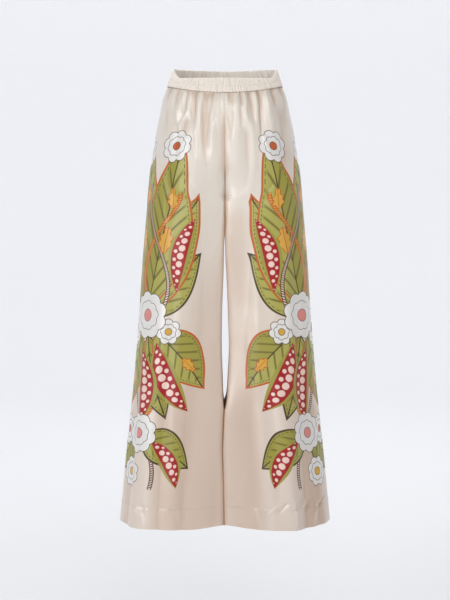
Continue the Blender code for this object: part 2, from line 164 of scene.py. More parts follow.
def bezier(corners, at):
    """Points of a cubic Bezier curve."""
    at = np.asarray(at)[:, None]
    rest = 1.0 - at
    return (corners[0] * rest ** 3 + 3 * corners[1] * rest ** 2 * at
            + 3 * corners[2] * rest * at ** 2 + corners[3] * at ** 3)


def even_curve(start, start_handle, end_handle, end, shares):
    """Points of a Bezier curve at even distances along it, and its length."""
    corners = np.array([start, start_handle, end_handle, end])
    fine = np.linspace(0.0, 1.0, CURVE_SAMPLES)
    line = bezier(corners, fine)
    along = np.concatenate([[0.0], np.cumsum(np.linalg.norm(np.diff(line, axis=0), axis=1))])
    at = np.interp(np.asarray(shares) * along[-1], along, fine)
    return bezier(corners, at), along[-1]


def panel_row(edges, drop, shares):
    """One line across a panel, from its inner edge to the side seam, and the length of that line."""
    places = [WAIST_Z - side.z for side in SIDE_SEAM]
    side_z, side_x, side_y = through_rows(places, SIDE_SEAM, drop)
    edge = Edge(*through_rows(places, edges, drop))
    front_to_back = math.copysign(1.0, edge.side_pull)
    start = np.array([edge.x, edge.y, edge.z])
    end = np.array([side_x, side_y + front_to_back * ROOM, side_z])
    start_handle = start + np.array([edge.out_x, edge.out_y, edge.out_z])
    end_handle = end + np.array([0.0, edge.side_pull, 0.0])
    return even_curve(start, start_handle, end_handle, end, shares)


for name, edges in (("front", FRONT_EDGE), ("back", BACK_EDGE)):
    widths = [1000 * panel_row(edges, drop, [0.0, 1.0])[1] for drop in (0.0, 0.15, 0.5, HEM_DROP)]
    print(name, "panel is", [round(width) for width in widths], "mm wide at the waist, hip, knee and hem")

# %% [markdown]
# ## Rows and columns of cloth
#
# The cloth is a grid. Fine gathers run down from the waist seam, so the columns are close together. The
# rows are closest at the waist seam and at the hem, where the cloth puckers, and far apart down the leg,
# where folds are long. The way out of the cloth at each point comes from the grid itself: the cross product
# of the step to the next column and the step to the next row. Every fold is then a distance along it.

# %% The bare grid of one panel
COLUMNS = 142
WAIST_ZONE = 0.170
WAIST_ROWS = 74
LEG_ROWS = 180
HEM_ZONE = 0.062
HEM_ROWS = 38
SHARES = np.linspace(0.0, 1.0, COLUMNS + 1)
DROPS = np.concatenate([WAIST_ZONE * np.linspace(0.0, 1.0, WAIST_ROWS, endpoint=False) ** 1.4,
                        np.linspace(WAIST_ZONE, HEM_DROP - HEM_ZONE, LEG_ROWS, endpoint=False),
                        np.linspace(HEM_DROP - HEM_ZONE, HEM_DROP, HEM_ROWS)])


def bare_panel(edges):
    """Points, level ways out and row widths of a panel with no folds."""
    rows = [panel_row(edges, drop, SHARES) for drop in DROPS]
    points = np.array([row[0] for row in rows])
    widths = np.array([row[1] for row in rows])
    outward = 1.0 if edges is BACK_EDGE else -1.0
    across = np.gradient(points, axis=1)
    down = np.gradient(points, DROPS, axis=0)
    ways = outward * np.cross(across, down)
    ways[[0, -1], :, 2] = 0.0
    ways /= np.linalg.norm(ways, axis=2)[..., None]
    return points, ways, widths


FRONT_BARE = bare_panel(FRONT_EDGE)
BACK_BARE = bare_panel(BACK_EDGE)
print("grid of a panel:", FRONT_BARE[0].shape[:2], "points")

# %% [markdown]
# ## Gathers and folds
#
# Silk that is gathered into a band stands out in rounded ridges with sharp valleys between them, because
# the stitching pinches the valleys and leaves the ridges free. So a ridge here is a round bell and a valley
# has a pointed bottom. The large ones are placed one by one, uneven in length, depth and spacing, at the
# same places as on the solids. Between them a loop adds the many short gathers that are too fine for a table.

# %% Large folds, one by one
# Where a fold starts and ends across the panel (0 at the centre seam or inseam, 1 at the side seam), how
# far below the waist seam it starts and ends, its half width, and its height (negative in a valley).
Fold = namedtuple("Fold", "at_top at_foot top foot half_width rise")
GATHERED = -0.06
PAST_HEM = 1.60
FOLDS = {
    "front_panel_left": [
        Fold(0.072, 0.080, GATHERED, 0.075, 0.0075, -0.0042),
        Fold(0.135, 0.140, GATHERED, 0.100, 0.0090, 0.0042),
        Fold(0.207, 0.175, GATHERED, 0.125, 0.0085, -0.0053),
        Fold(0.250, 0.225, GATHERED, 0.100, 0.0080, 0.0039),
        Fold(0.296, 0.330, GATHERED, 0.110, 0.0085, -0.0050),
        Fold(0.375, 0.365, GATHERED, 0.120, 0.0100, 0.0048),
        Fold(0.448, 0.372, GATHERED, 0.150, 0.0080, -0.0073),
        Fold(0.540, 0.500, GATHERED, 0.150, 0.0120, 0.0050),
        Fold(0.650, 0.600, GATHERED, 0.080, 0.0080, -0.0048),
        Fold(0.740, 0.700, GATHERED, 0.070, 0.0090, 0.0036),
        Fold(0.830, 0.780, GATHERED, 0.060, 0.0075, -0.0042),
        Fold(0.660, 0.560, 0.120, 0.260, 0.0200, -0.0040),
        Fold(0.300, 0.250, 0.200, 0.620, 0.0300, -0.0030),
        Fold(0.620, 0.560, 0.150, 0.560, 0.0350, 0.0045),
        Fold(0.480, 0.500, 0.420, PAST_HEM, 0.0320, 0.0060),
        Fold(0.340, 0.330, 0.480, PAST_HEM, 0.0300, -0.0045),
        Fold(0.800, 0.830, 0.520, PAST_HEM, 0.0420, -0.0080),
    ],
    "front_panel_right": [
        Fold(0.070, 0.085, GATHERED, 0.080, 0.0080, 0.0036),
        Fold(0.144, 0.200, GATHERED, 0.150, 0.0090, -0.0056),
        Fold(0.190, 0.130, GATHERED, 0.160, 0.0085, 0.0036),
        Fold(0.230, 0.260, GATHERED, 0.090, 0.0075, -0.0042),
        Fold(0.305, 0.285, GATHERED, 0.120, 0.0100, 0.0048),
        Fold(0.392, 0.325, GATHERED, 0.115, 0.0080, -0.0067),
        Fold(0.440, 0.420, GATHERED, 0.080, 0.0080, 0.0036),
        Fold(0.485, 0.470, GATHERED, 0.100, 0.0080, -0.0048),
        Fold(0.560, 0.530, GATHERED, 0.110, 0.0110, 0.0042),
        Fold(0.630, 0.600, GATHERED, 0.075, 0.0080, -0.0042),
        Fold(0.720, 0.690, GATHERED, 0.070, 0.0090, 0.0036),
        Fold(0.800, 0.770, GATHERED, 0.060, 0.0075, -0.0042),
        Fold(0.450, 0.440, 0.060, 0.130, 0.0110, -0.0030),
        Fold(0.560, 0.640, 0.150, 0.330, 0.0180, -0.0042),
        Fold(0.380, 0.420, 0.140, 0.520, 0.0320, 0.0040),
        Fold(0.590, 0.610, 0.450, PAST_HEM, 0.0360, 0.0060),
        Fold(0.410, 0.420, 0.520, PAST_HEM, 0.0320, -0.0048),
        Fold(0.180, 0.190, 0.620, PAST_HEM, 0.0260, -0.0040),
        Fold(0.810, 0.840, 0.560, PAST_HEM, 0.0420, -0.0070),
    ],
    "back_panel_left": [
        Fold(0.080, 0.085, GATHERED, 0.085, 0.0080, -0.0045),
        Fold(0.150, 0.160, GATHERED, 0.110, 0.0100, 0.0045),
        Fold(0.225, 0.210, GATHERED, 0.120, 0.0085, -0.0056),
        Fold(0.300, 0.300, GATHERED, 0.090, 0.0090, 0.0039),
        Fold(0.370, 0.345, GATHERED, 0.140, 0.0085, -0.0064),
        Fold(0.455, 0.450, GATHERED, 0.110, 0.0110, 0.0048),
        Fold(0.540, 0.520, GATHERED, 0.085, 0.0080, -0.0048),
        Fold(0.620, 0.600, GATHERED, 0.080, 0.0090, 0.0036),
        Fold(0.700, 0.670, GATHERED, 0.090, 0.0080, -0.0050),
        Fold(0.850, 0.820, GATHERED, 0.060, 0.0075, -0.0039),
        Fold(0.280, 0.420, 0.170, 0.330, 0.0190, -0.0050),
        Fold(0.420, 0.520, 0.180, 0.380, 0.0240, 0.0040),
        Fold(0.520, 0.500, 0.420, PAST_HEM, 0.0360, 0.0062),
        Fold(0.330, 0.340, 0.380, PAST_HEM, 0.0320, -0.0050),
        Fold(0.740, 0.720, 0.450, PAST_HEM, 0.0360, -0.0052),
    ],
    "back_panel_right": [
        Fold(0.060, 0.070, GATHERED, 0.070, 0.0080, -0.0039),
        Fold(0.130, 0.130, GATHERED, 0.095, 0.0090, 0.0042),
        Fold(0.200, 0.215, GATHERED, 0.135, 0.0085, -0.0062),
        Fold(0.285, 0.290, GATHERED, 0.100, 0.0100, 0.0048),
        Fold(0.360, 0.380, GATHERED, 0.095, 0.0080, -0.0048),
        Fold(0.430, 0.420, GATHERED, 0.090, 0.0090, 0.0039),
        Fold(0.505, 0.470, GATHERED, 0.130, 0.0085, -0.0064),
        Fold(0.590, 0.570, GATHERED, 0.100, 0.0110, 0.0045),
        Fold(0.680, 0.660, GATHERED, 0.080, 0.0080, -0.0045),
        Fold(0.820, 0.790, GATHERED, 0.065, 0.0080, -0.0042),
        Fold(0.240, 0.380, 0.180, 0.350, 0.0190, -0.0046),
        Fold(0.400, 0.470, 0.190, 0.400, 0.0240, 0.0040),
        Fold(0.570, 0.590, 0.400, PAST_HEM, 0.0380, 0.0060),
        Fold(0.390, 0.400, 0.440, PAST_HEM, 0.0300, -0.0046),
        Fold(0.190, 0.200, 0.560, PAST_HEM, 0.0260, -0.0040),
    ],
}
print("folds placed by hand:", {name: len(rows) for name, rows in FOLDS.items()})

# %% Height of the folds
RIDGE_POWER = 2.0                  # 2 gives a round bell
VALLEY_POWER = 1.20                # towards 1 gives a pointed valley
FOLD_ENTRY = 0.25
FOLD_EXIT = 0.50
SEAM_FADE = 0.05


def fold_heights(folds, widths):
    """How far a list of folds lifts the cloth at every point of the grid."""
    total = np.zeros((len(DROPS), len(SHARES)))
    for fold in folds:
        along = (DROPS - fold.top) / (fold.foot - fold.top)
        centre = fold.at_top + (fold.at_foot - fold.at_top) * np.clip(along, 0.0, 1.0)
        strength = soft_step(0.0, FOLD_ENTRY, along) * (1.0 - soft_step(FOLD_EXIT, 1.0, along))
        across = np.abs(SHARES - centre[:, None]) * widths[:, None] / fold.half_width
        power = VALLEY_POWER if fold.rise < 0 else RIDGE_POWER
        total += fold.rise * strength[:, None] * np.exp(-across ** power)
    return total


# %% Creases that only the cloth has
# The solids go without these: small creases across the thighs, beside the inseam and along the hems, and
# a few long ridges and valleys down the front of the lower legs.
CREASES = {
    "front_panel_left": [
        Fold(0.710, 0.590, 0.030, 0.190, 0.0090, -0.0034),
        Fold(0.640, 0.480, 0.028, 0.110, 0.0055, 0.0022),
        Fold(0.170, 0.290, 0.022, 0.090, 0.0050, 0.0020),
        Fold(0.110, 0.060, 0.035, 0.130, 0.0055, -0.0024),
        Fold(0.400, 0.470, 0.100, 0.170, 0.0060, 0.0020),
        Fold(0.800, 0.690, 0.035, 0.110, 0.0060, -0.0022),
        Fold(0.135, 0.135, 0.060, 0.210, 0.0100, 0.0028),
        Fold(0.220, 0.235, 0.080, 0.220, 0.0110, -0.0028),
        Fold(0.290, 0.275, 0.070, 0.240, 0.0090, 0.0024),
        Fold(0.500, 0.425, 0.196, 0.226, 0.0070, -0.0022),
        Fold(0.530, 0.560, 0.232, 0.300, 0.0090, 0.0018),
        Fold(0.190, 0.060, 0.812, 0.880, 0.0055, 0.0022),
        Fold(0.140, 0.080, 0.838, 0.900, 0.0040, -0.0018),
        Fold(0.110, 0.150, 0.760, PAST_HEM, 0.0090, -0.0026),
        Fold(0.225, 0.250, 0.700, PAST_HEM, 0.0110, 0.0024),
        Fold(0.585, 0.590, 0.500, PAST_HEM, 0.0270, 0.0086),
        Fold(0.690, 0.690, 0.560, PAST_HEM, 0.0240, -0.0064),
        Fold(0.480, 0.500, 0.420, PAST_HEM, 0.0320, -0.0040),
        Fold(0.950, 0.720, 0.950, 0.996, 0.0042, -0.0046),
        Fold(0.820, 0.740, 0.956, 1.030, 0.0050, 0.0046),
        Fold(0.770, 0.660, 0.950, 0.992, 0.0036, -0.0044),
        Fold(0.700, 0.620, 0.950, 0.990, 0.0042, 0.0044),
        Fold(0.655, 0.560, 0.952, 0.990, 0.0034, -0.0040),
        Fold(0.590, 0.610, 0.952, 1.030, 0.0040, 0.0034),
        Fold(0.560, 0.460, 0.954, 0.992, 0.0036, -0.0036),
        Fold(0.500, 0.400, 0.960, 0.994, 0.0036, 0.0024),
        Fold(0.340, 0.380, 0.964, 1.030, 0.0060, 0.0016),
    ],
    "front_panel_right": [
        Fold(0.620, 0.460, 0.030, 0.120, 0.0055, 0.0024),
        Fold(0.440, 0.530, 0.045, 0.110, 0.0050, 0.0020),
        Fold(0.080, 0.150, 0.030, 0.100, 0.0050, -0.0022),
        Fold(0.350, 0.270, 0.100, 0.180, 0.0060, -0.0022),
        Fold(0.760, 0.650, 0.040, 0.120, 0.0060, -0.0024),
        Fold(0.270, 0.160, 0.015, 0.215, 0.0085, -0.0046),
        Fold(0.150, 0.100, 0.020, 0.200, 0.0085, 0.0030),
        Fold(0.545, 0.490, 0.050, 0.190, 0.0090, -0.0038),
        Fold(0.320, 0.235, 0.060, 0.230, 0.0100, 0.0026),
        Fold(0.372, 0.395, 0.194, 0.232, 0.0065, 0.0022),
        Fold(0.685, 0.660, 0.222, 0.330, 0.0080, 0.0024),
        Fold(0.640, 0.615, 0.215, 0.330, 0.0080, -0.0020),
        Fold(0.735, 0.745, 0.480, PAST_HEM, 0.0260, 0.0095),
        Fold(0.570, 0.580, 0.500, PAST_HEM, 0.0300, -0.0105),
        Fold(0.170, 0.130, 0.760, PAST_HEM, 0.0100, -0.0034),
        Fold(0.230, 0.215, 0.740, PAST_HEM, 0.0090, 0.0026),
        Fold(0.280, 0.262, 0.780, PAST_HEM, 0.0080, -0.0022),
        Fold(0.800, 0.720, 0.962, 0.992, 0.0050, 0.0020),
        Fold(0.700, 0.650, 0.960, 1.010, 0.0060, -0.0018),
        Fold(0.450, 0.400, 0.968, 1.030, 0.0070, 0.0014),
    ],
    "back_panel_left": [
        Fold(0.230, 0.330, 0.262, 0.300, 0.0080, -0.0030),
        Fold(0.160, 0.300, 0.290, 0.350, 0.0090, -0.0026),
        Fold(0.620, 0.560, 0.480, 0.560, 0.0120, -0.0024),
        Fold(0.400, 0.450, 0.962, 1.000, 0.0055, -0.0022),
        Fold(0.700, 0.640, 0.964, 1.030, 0.0060, 0.0022),
    ],
    "back_panel_right": [
        Fold(0.210, 0.320, 0.258, 0.300, 0.0080, -0.0028),
        Fold(0.170, 0.310, 0.296, 0.360, 0.0090, -0.0028),
        Fold(0.580, 0.640, 0.500, 0.590, 0.0120, -0.0022),
        Fold(0.300, 0.360, 0.962, 1.000, 0.0055, 0.0022),
        Fold(0.800, 0.730, 0.960, 0.990, 0.0050, -0.0022),
    ],
}

# %% Short gathers, by a loop
GATHER_DRIFT = 0.010               # how far a gather may lean, as a share of the panel's width
GATHER_START = -1.5                # in its own lengths, so it is at full height where it leaves the seam


def gathers(dice, spacing, foot, half_width, depth):
    """Valleys that run out of the waist seam, each of its own length, width and depth."""
    rows = []
    at = dice.uniform(*spacing) / 2
    while at < 1.0:
        end = dice.uniform(*foot)
        drift = dice.uniform(-GATHER_DRIFT, GATHER_DRIFT)
        start = GATHER_START * end
        rows.append(Fold(at, at + drift, start, end, dice.uniform(*half_width), -dice.uniform(*depth)))
        at += dice.uniform(*spacing)
    return rows


def short_gathers(seed):
    """Tight puckers right under the seam, and longer soft gathers between the large ones."""
    dice = np.random.default_rng(seed)
    puckers = gathers(dice, spacing=(0.028, 0.050), foot=(0.007, 0.021),
                      half_width=(0.0016, 0.0027), depth=(0.0016, 0.0036))
    soft = gathers(dice, spacing=(0.050, 0.100), foot=(0.040, 0.130),
                   half_width=(0.0030, 0.0052), depth=(0.0012, 0.0028))
    return puckers + soft


# %% Long ripples and soft dents
def waves(seed, widths, count, shortest, longest, tilt, height):
    """Many faint waves of random length and direction, which together look like cloth that was handled."""
    dice = np.random.default_rng(seed)
    across = (1.0 - SHARES)[None, :] * widths[:, None]
    down = DROPS[:, None]
    total = np.zeros_like(across)
    for _ in range(count):
        length = dice.uniform(shortest, longest)
        turn = dice.normal(0.0, tilt)
        phase = dice.uniform(0.0, 2 * math.pi)
        travel = across * math.cos(turn) + down * math.sin(turn)
        total += np.sin(2 * math.pi * travel / length + phase)
    return height * total / math.sqrt(count)


GATHER_SEEDS = {
    "front_panel_left": 11,
    "front_panel_right": 23,
    "back_panel_left": 37,
    "back_panel_right": 41,
}
print("short gathers:", {name: len(short_gathers(seed)) for name, seed in GATHER_SEEDS.items()})

# %% [markdown]
# ## Seams and hems
#
# Where two panels are sewn together the cloth dips into a narrow groove, and the thread pulls it into
# small puckers on each side. The hem is turned up and sewn 50 mm above the edge, so the cloth is double
# below that line: it stands out a little, and it crumples where the turned part is a trifle too long for
# the leg that it is sewn to. All of this is height again, added to the folds.

# %% Grooves, puckers and the turned hem
GROOVE_DEPTH = 0.0009
GROOVE_WIDTH = 0.0028
PUCKER_PITCH = 0.0110
PUCKER_RISE = 0.00016
PUCKER_REACH = 0.010
BEAT_WANDER = 0.35                 # how unevenly the puckers follow each other
BEAT_PULL = 0.25
VALLEY_DEPTH = 0.0042              # the soft valley that runs down the middle of the hips
VALLEY_WIDTH = 0.0105
VALLEY_FROM = (0.030, 0.100)       # it deepens between these two drops below the waist seam
VALLEY_TO = (0.185, 0.240)         # and ends between these
HEM_DEPTH = 0.050
HEM_STEP = 0.0005
HEM_STEP_SPAN = 0.0015
HEM_GROOVE = 0.0007
HEM_GROOVE_WIDTH = 0.0022
CRUMPLE_START = 0.004
CRUMPLE_SPACING = (0.006, 0.013)
CRUMPLE_LEAN = 0.9
CRUMPLE_REACH = (0.0064, 0.016)
CRUMPLE_WIDTH = (0.0028, 0.0055)
CRUMPLE_RISE = 0.0005
LEG_FROM = (0.20, 0.50)            # the long ripples of the legs come in between these two drops
TUCK_REACH = 0.006                 # below the waist seam, where folds reach their full height
TUCK_SHARE = 0.50                  # of a fold's height that is left at the waist seam
SEAM_DIP = 0.0012
SEAM_DIP_REACH = 0.004
LEG_TONE = 0.45                    # a leg's wide folds lose this share of their painted shade
INSEAM_SHADE = 0.0066             # painted shade beside the inseam, as dark as in a fold this deep
INSEAM_SHADE_FROM = (0.20, 0.30)
INSEAM_SHADE_REACH = 0.072
MEETING_SHADE = 0.0090            # and painted shade this deep where the two legs meet
MEETING_REACH = 0.0050


def seam_heights(widths, seed):
    """The grooves at a panel's long edges, with their puckers."""
    dice = np.random.default_rng(seed)
    total = np.zeros((len(DROPS), len(SHARES)))
    for distance in (SHARES[None, :] * widths[:, None], (1.0 - SHARES)[None, :] * widths[:, None]):
        shift = np.cumsum(dice.normal(0.0, BEAT_WANDER, len(DROPS)))
        beat = np.sin(2 * math.pi * DROPS / PUCKER_PITCH + BEAT_PULL * shift)[:, None]
        total -= GROOVE_DEPTH * np.exp(-(distance / GROOVE_WIDTH) ** 2)
        total += PUCKER_RISE * beat * np.exp(-distance / PUCKER_REACH)
    hips = soft_step(*VALLEY_FROM, DROPS) * (1.0 - soft_step(*VALLEY_TO, DROPS))
    from_middle = SHARES[None, :] * widths[:, None]
    return total - VALLEY_DEPTH * hips[:, None] * np.exp(-(from_middle / VALLEY_WIDTH) ** 2)


def hem_heights(widths, seed):
    """The double cloth below the hem's stitch line, and the crumples along it."""
    dice = np.random.default_rng(seed)
    line = HEM_DROP - HEM_DEPTH
    below = DROPS[:, None] - line
    across = (1.0 - SHARES)[None, :] * widths[:, None]
    step = HEM_STEP * soft_step(-HEM_STEP_SPAN, HEM_STEP_SPAN, below)
    groove = -HEM_GROOVE * np.exp(-(below / HEM_GROOVE_WIDTH) ** 2)
    crumples = np.zeros_like(across)
    at = CRUMPLE_START
    while at < widths[-1]:
        lean = dice.uniform(-CRUMPLE_LEAN, CRUMPLE_LEAN)
        reach = dice.uniform(*CRUMPLE_REACH)
        width = dice.uniform(*CRUMPLE_WIDTH)
        rise = dice.normal(0.0, CRUMPLE_RISE)
        centre = at + lean * below
        crumples += rise * np.exp(-((across - centre) / width) ** 2) * np.exp(-(below / reach) ** 2)
        at += dice.uniform(*CRUMPLE_SPACING)
    return step + groove + crumples


def panel_heights(name, widths):
    """All that lifts or sinks the cloth of one panel, and the depth of painted shade at each point."""
    seed = GATHER_SEEDS[name]
    leg = soft_step(*LEG_FROM, DROPS)[:, None]
    folds = sum(fold_heights(rows, widths) for rows in (FOLDS[name], CREASES[name], short_gathers(seed)))
    ripples = leg * waves(seed + 1, widths, count=9, shortest=0.035, longest=0.090, tilt=0.05, height=0.0010)
    dents = waves(seed + 2, widths, count=12, shortest=0.050, longest=0.140, tilt=1.2, height=0.0005)
    edge_fade = soft_step(0.0, SEAM_FADE, SHARES) * soft_step(0.0, SEAM_FADE, 1.0 - SHARES)
    tuck = TUCK_SHARE + (1.0 - TUCK_SHARE) * soft_step(0.0, TUCK_REACH, DROPS)[:, None]
    seams = seam_heights(widths, seed + 3) - SEAM_DIP * np.exp(-(DROPS[:, None] / SEAM_DIP_REACH) ** 2)
    shown = folds * edge_fade * tuck
    total = shown + (ripples + dents) * edge_fade * tuck + seams + hem_heights(widths, seed + 4)
    from_inseam = SHARES[None, :] * widths[:, None]
    # Painted shade beside the inseam, where the cloth turns away from the light.
    inseam_shade = INSEAM_SHADE * soft_step(*INSEAM_SHADE_FROM, DROPS)[:, None]
    inseam_shade = inseam_shade * np.exp(-from_inseam / INSEAM_SHADE_REACH)
    # The second number drives painted shade: the folds' depth, less on the legs, the seam grooves and the dip
    # under the band, deepened beside the inseam.
    return total, shown * (1.0 - LEG_TONE * leg) + seams - inseam_shade


# %% [markdown]
# ## Two legs that lie against each other
#
# From the crotch down to the thighs, and again below the knees, the two legs touch. Cloth that touches
# cloth nestles: where one leg swells the other gives way, and both are pressed flat. So three shifts act on
# the inner sides. A swing moves both legs the same way, to one side at the front and to the other further
# back. A drift moves both the same way at every depth, so the line where they meet wanders, most of all
# below the knees. A press brings the rounded cloth up to a level wall, which stands where the legs touch,
# or a few millimetres beside it where a slit of light shows between them. Both hems rise a little there.
# The solids bow apart on these inner sides, so here the press takes the cloth as much as 33 mm off them.

# %% Nestle the legs
Nestle = namedtuple("Nestle", "z swing press slit reach drift")
NESTLE = [
    Nestle(-1.100, 0.0024, 1.0, 0.0, 0.086, -0.0010),
    Nestle(-0.950, 0.0024, 1.0, 0.0, 0.086, -0.0030),
    Nestle(-0.860, 0.0022, 1.0, 0.0, 0.086, -0.0060),
    Nestle(-0.785, 0.0018, 1.0, 0.0, 0.086, -0.0035),
    Nestle(-0.766, 0.0014, 1.0, 0.0, 0.084, -0.0020),
    Nestle(-0.750, 0.0010, 1.0, 0.0034, 0.080, -0.0005),
    Nestle(-0.731, 0.0008, 1.0, 0.0050, 0.076, 0.0),
    Nestle(-0.693, 0.0008, 1.0, 0.0064, 0.070, 0.0004),
    Nestle(-0.656, 0.0006, 1.0, 0.0083, 0.068, 0.0008),
    Nestle(-0.618, 0.0006, 1.0, 0.0090, 0.066, 0.0008),
    Nestle(-0.562, 0.0006, 1.0, 0.0077, 0.066, 0.0),
    Nestle(-0.524, 0.0006, 1.0, 0.0066, 0.066, 0.0),
    Nestle(-0.486, 0.0006, 1.0, 0.0051, 0.068, 0.0),
    Nestle(-0.430, 0.0004, 1.0, 0.0025, 0.072, -0.0006),
    Nestle(-0.392, 0.0002, 1.0, 0.0016, 0.077, -0.0010),
    Nestle(-0.370, 0.0002, 1.0, 0.0007, 0.079, -0.0010),
    Nestle(-0.356, 0.0006, 1.0, 0.0, 0.080, -0.0008),
    Nestle(-0.330, 0.0010, 1.0, 0.0, 0.080, 0.0),
    Nestle(-0.220, 0.0, 1.0, 0.0, 0.080, 0.0),
    Nestle(-0.160, 0.0, 0.0, 0.0, 0.080, 0.0),
    Nestle(0.100, 0.0, 0.0, 0.0, 0.080, 0.0),
]
NESTLE_WAVE = 0.050
NESTLE_MIDDLE = -0.010
NESTLE_REACH = 0.030
NESTLE_NEAR = 0.036
NESTLE_FAR = 0.080
PRESS_FADE = 0.021                 # past its reach the press fades out over this distance


def nestle(points, leg_side):
    """How far the inner side of a leg shifts sideways where it lies against the other."""
    across = np.abs(points[..., 0])
    heights, *shifts = zip(*NESTLE)
    swing, press, slit, reach, drift = (np.interp(points[..., 2], heights, column) for column in shifts)
    front_to_back = points[..., 1] - NESTLE_MIDDLE
    wave = np.sin(2 * math.pi * front_to_back / NESTLE_WAVE) * np.exp(-(front_to_back / NESTLE_REACH) ** 2)
    flat = 1.0 - soft_step(reach, reach + PRESS_FADE, np.abs(points[..., 1]))
    near = 1.0 - soft_step(NESTLE_NEAR, NESTLE_FAR, across)
    return near * (swing * wave + drift + leg_side * press * flat * (slit - across))


def meeting_line(points):
    """Where the two legs meet, at the height of each point."""
    return np.interp(points[..., 2], [row.z for row in NESTLE], [row.drift for row in NESTLE])


# %% [markdown]
# ## From grids to cloth
#
# Two grids, one for each face of the cloth, are joined into a closed wall: quads on both faces, and a rim
# round the border. Numpy writes the faces, because a loop over eighty thousand of them would take long.
# Whether the wall is inside out is read from its volume, which is negative if its faces point inwards.
# Each point also carries what the finish needs: its place in the print, measured from the side seam and
# from the waist seam, how deep it lies in painted shade, and whether it is on the inside of the garment.

# %% Walls
SHARP_RIM = math.radians(80)       # edges that turn more than this stay sharp


def grid_quads(rows, columns, ring):
    """Corner numbers of the quads of a grid, a ring's last column joining its first."""
    row = np.arange(rows - 1)[:, None]
    column = np.arange(columns if ring else columns - 1)[None, :]
    after = (column + 1) % columns
    corners = (row * columns + column, row * columns + after, (row + 1) * columns + after,
               (row + 1) * columns + column)
    return np.stack([c.ravel() for c in np.broadcast_arrays(*corners)], axis=1)


def border_quads(outer_line, inner_line, ring):
    """Quads between two lines of corner numbers."""
    next_outer = np.roll(outer_line, -1)
    next_inner = np.roll(inner_line, -1)
    quads = np.stack([next_outer, outer_line, inner_line, next_inner], axis=1)
    return quads if ring else quads[:-1]


def cloth_wall(name, outer, inner, ring=False):
    """A closed wall between two grids of points, smooth on its faces and sharp at its rim."""
    rows, columns = outer.shape[:2]
    points = np.concatenate([outer.reshape(-1, 3), inner.reshape(-1, 3)])
    count = rows * columns
    number = np.arange(count).reshape(rows, columns)
    face = grid_quads(rows, columns, ring)
    parts = [face, face[:, ::-1] + count,
             border_quads(number[0], number[0] + count, ring),
             border_quads(number[-1], number[-1] + count, ring)[:, ::-1]]
    if not ring:
        parts.append(border_quads(number[:, 0], number[:, 0] + count, ring)[:, ::-1])
        parts.append(border_quads(number[:, -1], number[:, -1] + count, ring))
    quads = np.concatenate(parts)
    a, b, c, d = (points[quads[:, corner]] for corner in range(4))
    volume = ((a * np.cross(b, c)).sum() + (a * np.cross(c, d)).sum()) / 6
    if volume < 0:
        quads = quads[:, ::-1]
    mesh = bpy.data.meshes.new(name)
    mesh.vertices.add(len(points))
    mesh.vertices.foreach_set("co", points.astype(np.float32).ravel())
    mesh.loops.add(quads.size)
    mesh.loops.foreach_set("vertex_index", quads.astype(np.int32).ravel())
    mesh.polygons.add(len(quads))
    mesh.polygons.foreach_set("loop_start", np.arange(0, quads.size, 4, dtype=np.int32))
    mesh.update(calc_edges=True)
    mesh.validate()
    mesh.shade_smooth()
    mesh.set_sharp_from_angle(angle=SHARP_RIM)
    piece = bpy.data.objects.new(name, mesh)
    bpy.context.scene.collection.objects.link(piece)
    return piece


def give(piece, name, values):
    """Stores one number or one place for every point of a piece."""
    flat = np.asarray(values, dtype=np.float32)
    kind = "FLOAT_VECTOR" if flat.ndim == 2 else "FLOAT"
    attribute = piece.data.attributes.new(name, kind, "POINT")
    attribute.data.foreach_set("vector" if flat.ndim == 2 else "value", flat.ravel())


# %% The four panels
CLOTH = 0.0005
HEM_CLOTH = 0.0010
HEM_CLOTH_SPAN = 0.001             # the cloth turns double over this distance
BELOW_CROTCH = (0.19, 0.25)        # the legs part between these two drops below the waist seam
TUCK_UP = 0.0030                   # how far a panel's top edge goes up behind the waistband
TUCK_IN = 0.0016
HEM_RISE = 0.0075                  # how much higher the hems are where the legs meet
HEM_RISE_REACH = 0.045
HEM_RISE_FROM = (0.880, 1.024)
HELD_REACH = 0.025                 # this near the centre seam no fold can pull the cloth sideways


def panel_cloth(name, bare, leg_side):
    """One printed panel, with its folds, seams and hem."""
    points, ways, widths = bare
    heights, shade_depths = panel_heights(name, widths)
    lifts = ways * heights[..., None]
    lifts[..., 0] *= soft_step(0.0, HELD_REACH, SHARES[None, :] * widths[:, None])
    outer = points + lifts
    below_line = DROPS - (HEM_DROP - HEM_DEPTH)
    thick = CLOTH + (HEM_CLOTH - CLOTH) * soft_step(-HEM_CLOTH_SPAN, HEM_CLOTH_SPAN, below_line)
    inner = outer - ways * thick[:, None, None]
    for grid in (outer, inner):
        grid[0] += np.array([0.0, 0.0, TUCK_UP]) - ways[0] * TUCK_IN
        grid[..., 0] = np.maximum(grid[..., 0], ROOM) * leg_side
    shift = nestle(outer, leg_side)
    outer[..., 0] += shift
    inner[..., 0] += shift
    below_crotch = soft_step(*BELOW_CROTCH, DROPS)[:, None]
    # Painted shade along the line where the two legs meet.
    meeting = np.exp(-((outer[..., 0] - meeting_line(outer)) / MEETING_REACH) ** 2)
    shade_depths = shade_depths - MEETING_SHADE * below_crotch * meeting
    near_middle = np.exp(-(outer[..., 0] / HEM_RISE_REACH) ** 2)
    rise = HEM_RISE * soft_step(*HEM_RISE_FROM, DROPS)[:, None] * near_middle
    outer[..., 2] += rise
    inner[..., 2] += rise
    piece = cloth_wall(name + "_silk", outer, inner)
    from_side = (1.0 - SHARES)[None, :] * widths[:, None]
    place = np.stack([from_side, np.broadcast_to(DROPS[:, None], from_side.shape)], axis=2)
    place = np.concatenate([place.reshape(-1, 2), place.reshape(-1, 2)])
    give(piece, "print_place", np.column_stack([place, np.zeros(len(place))]))
    # The depth of painted shade, the same on both faces of the cloth.
    give(piece, "painted_shade_depth", np.concatenate([shade_depths.ravel(), shade_depths.ravel()]))
    give(piece, "inside", np.repeat([0.0, 1.0], heights.size))
    return piece, outer


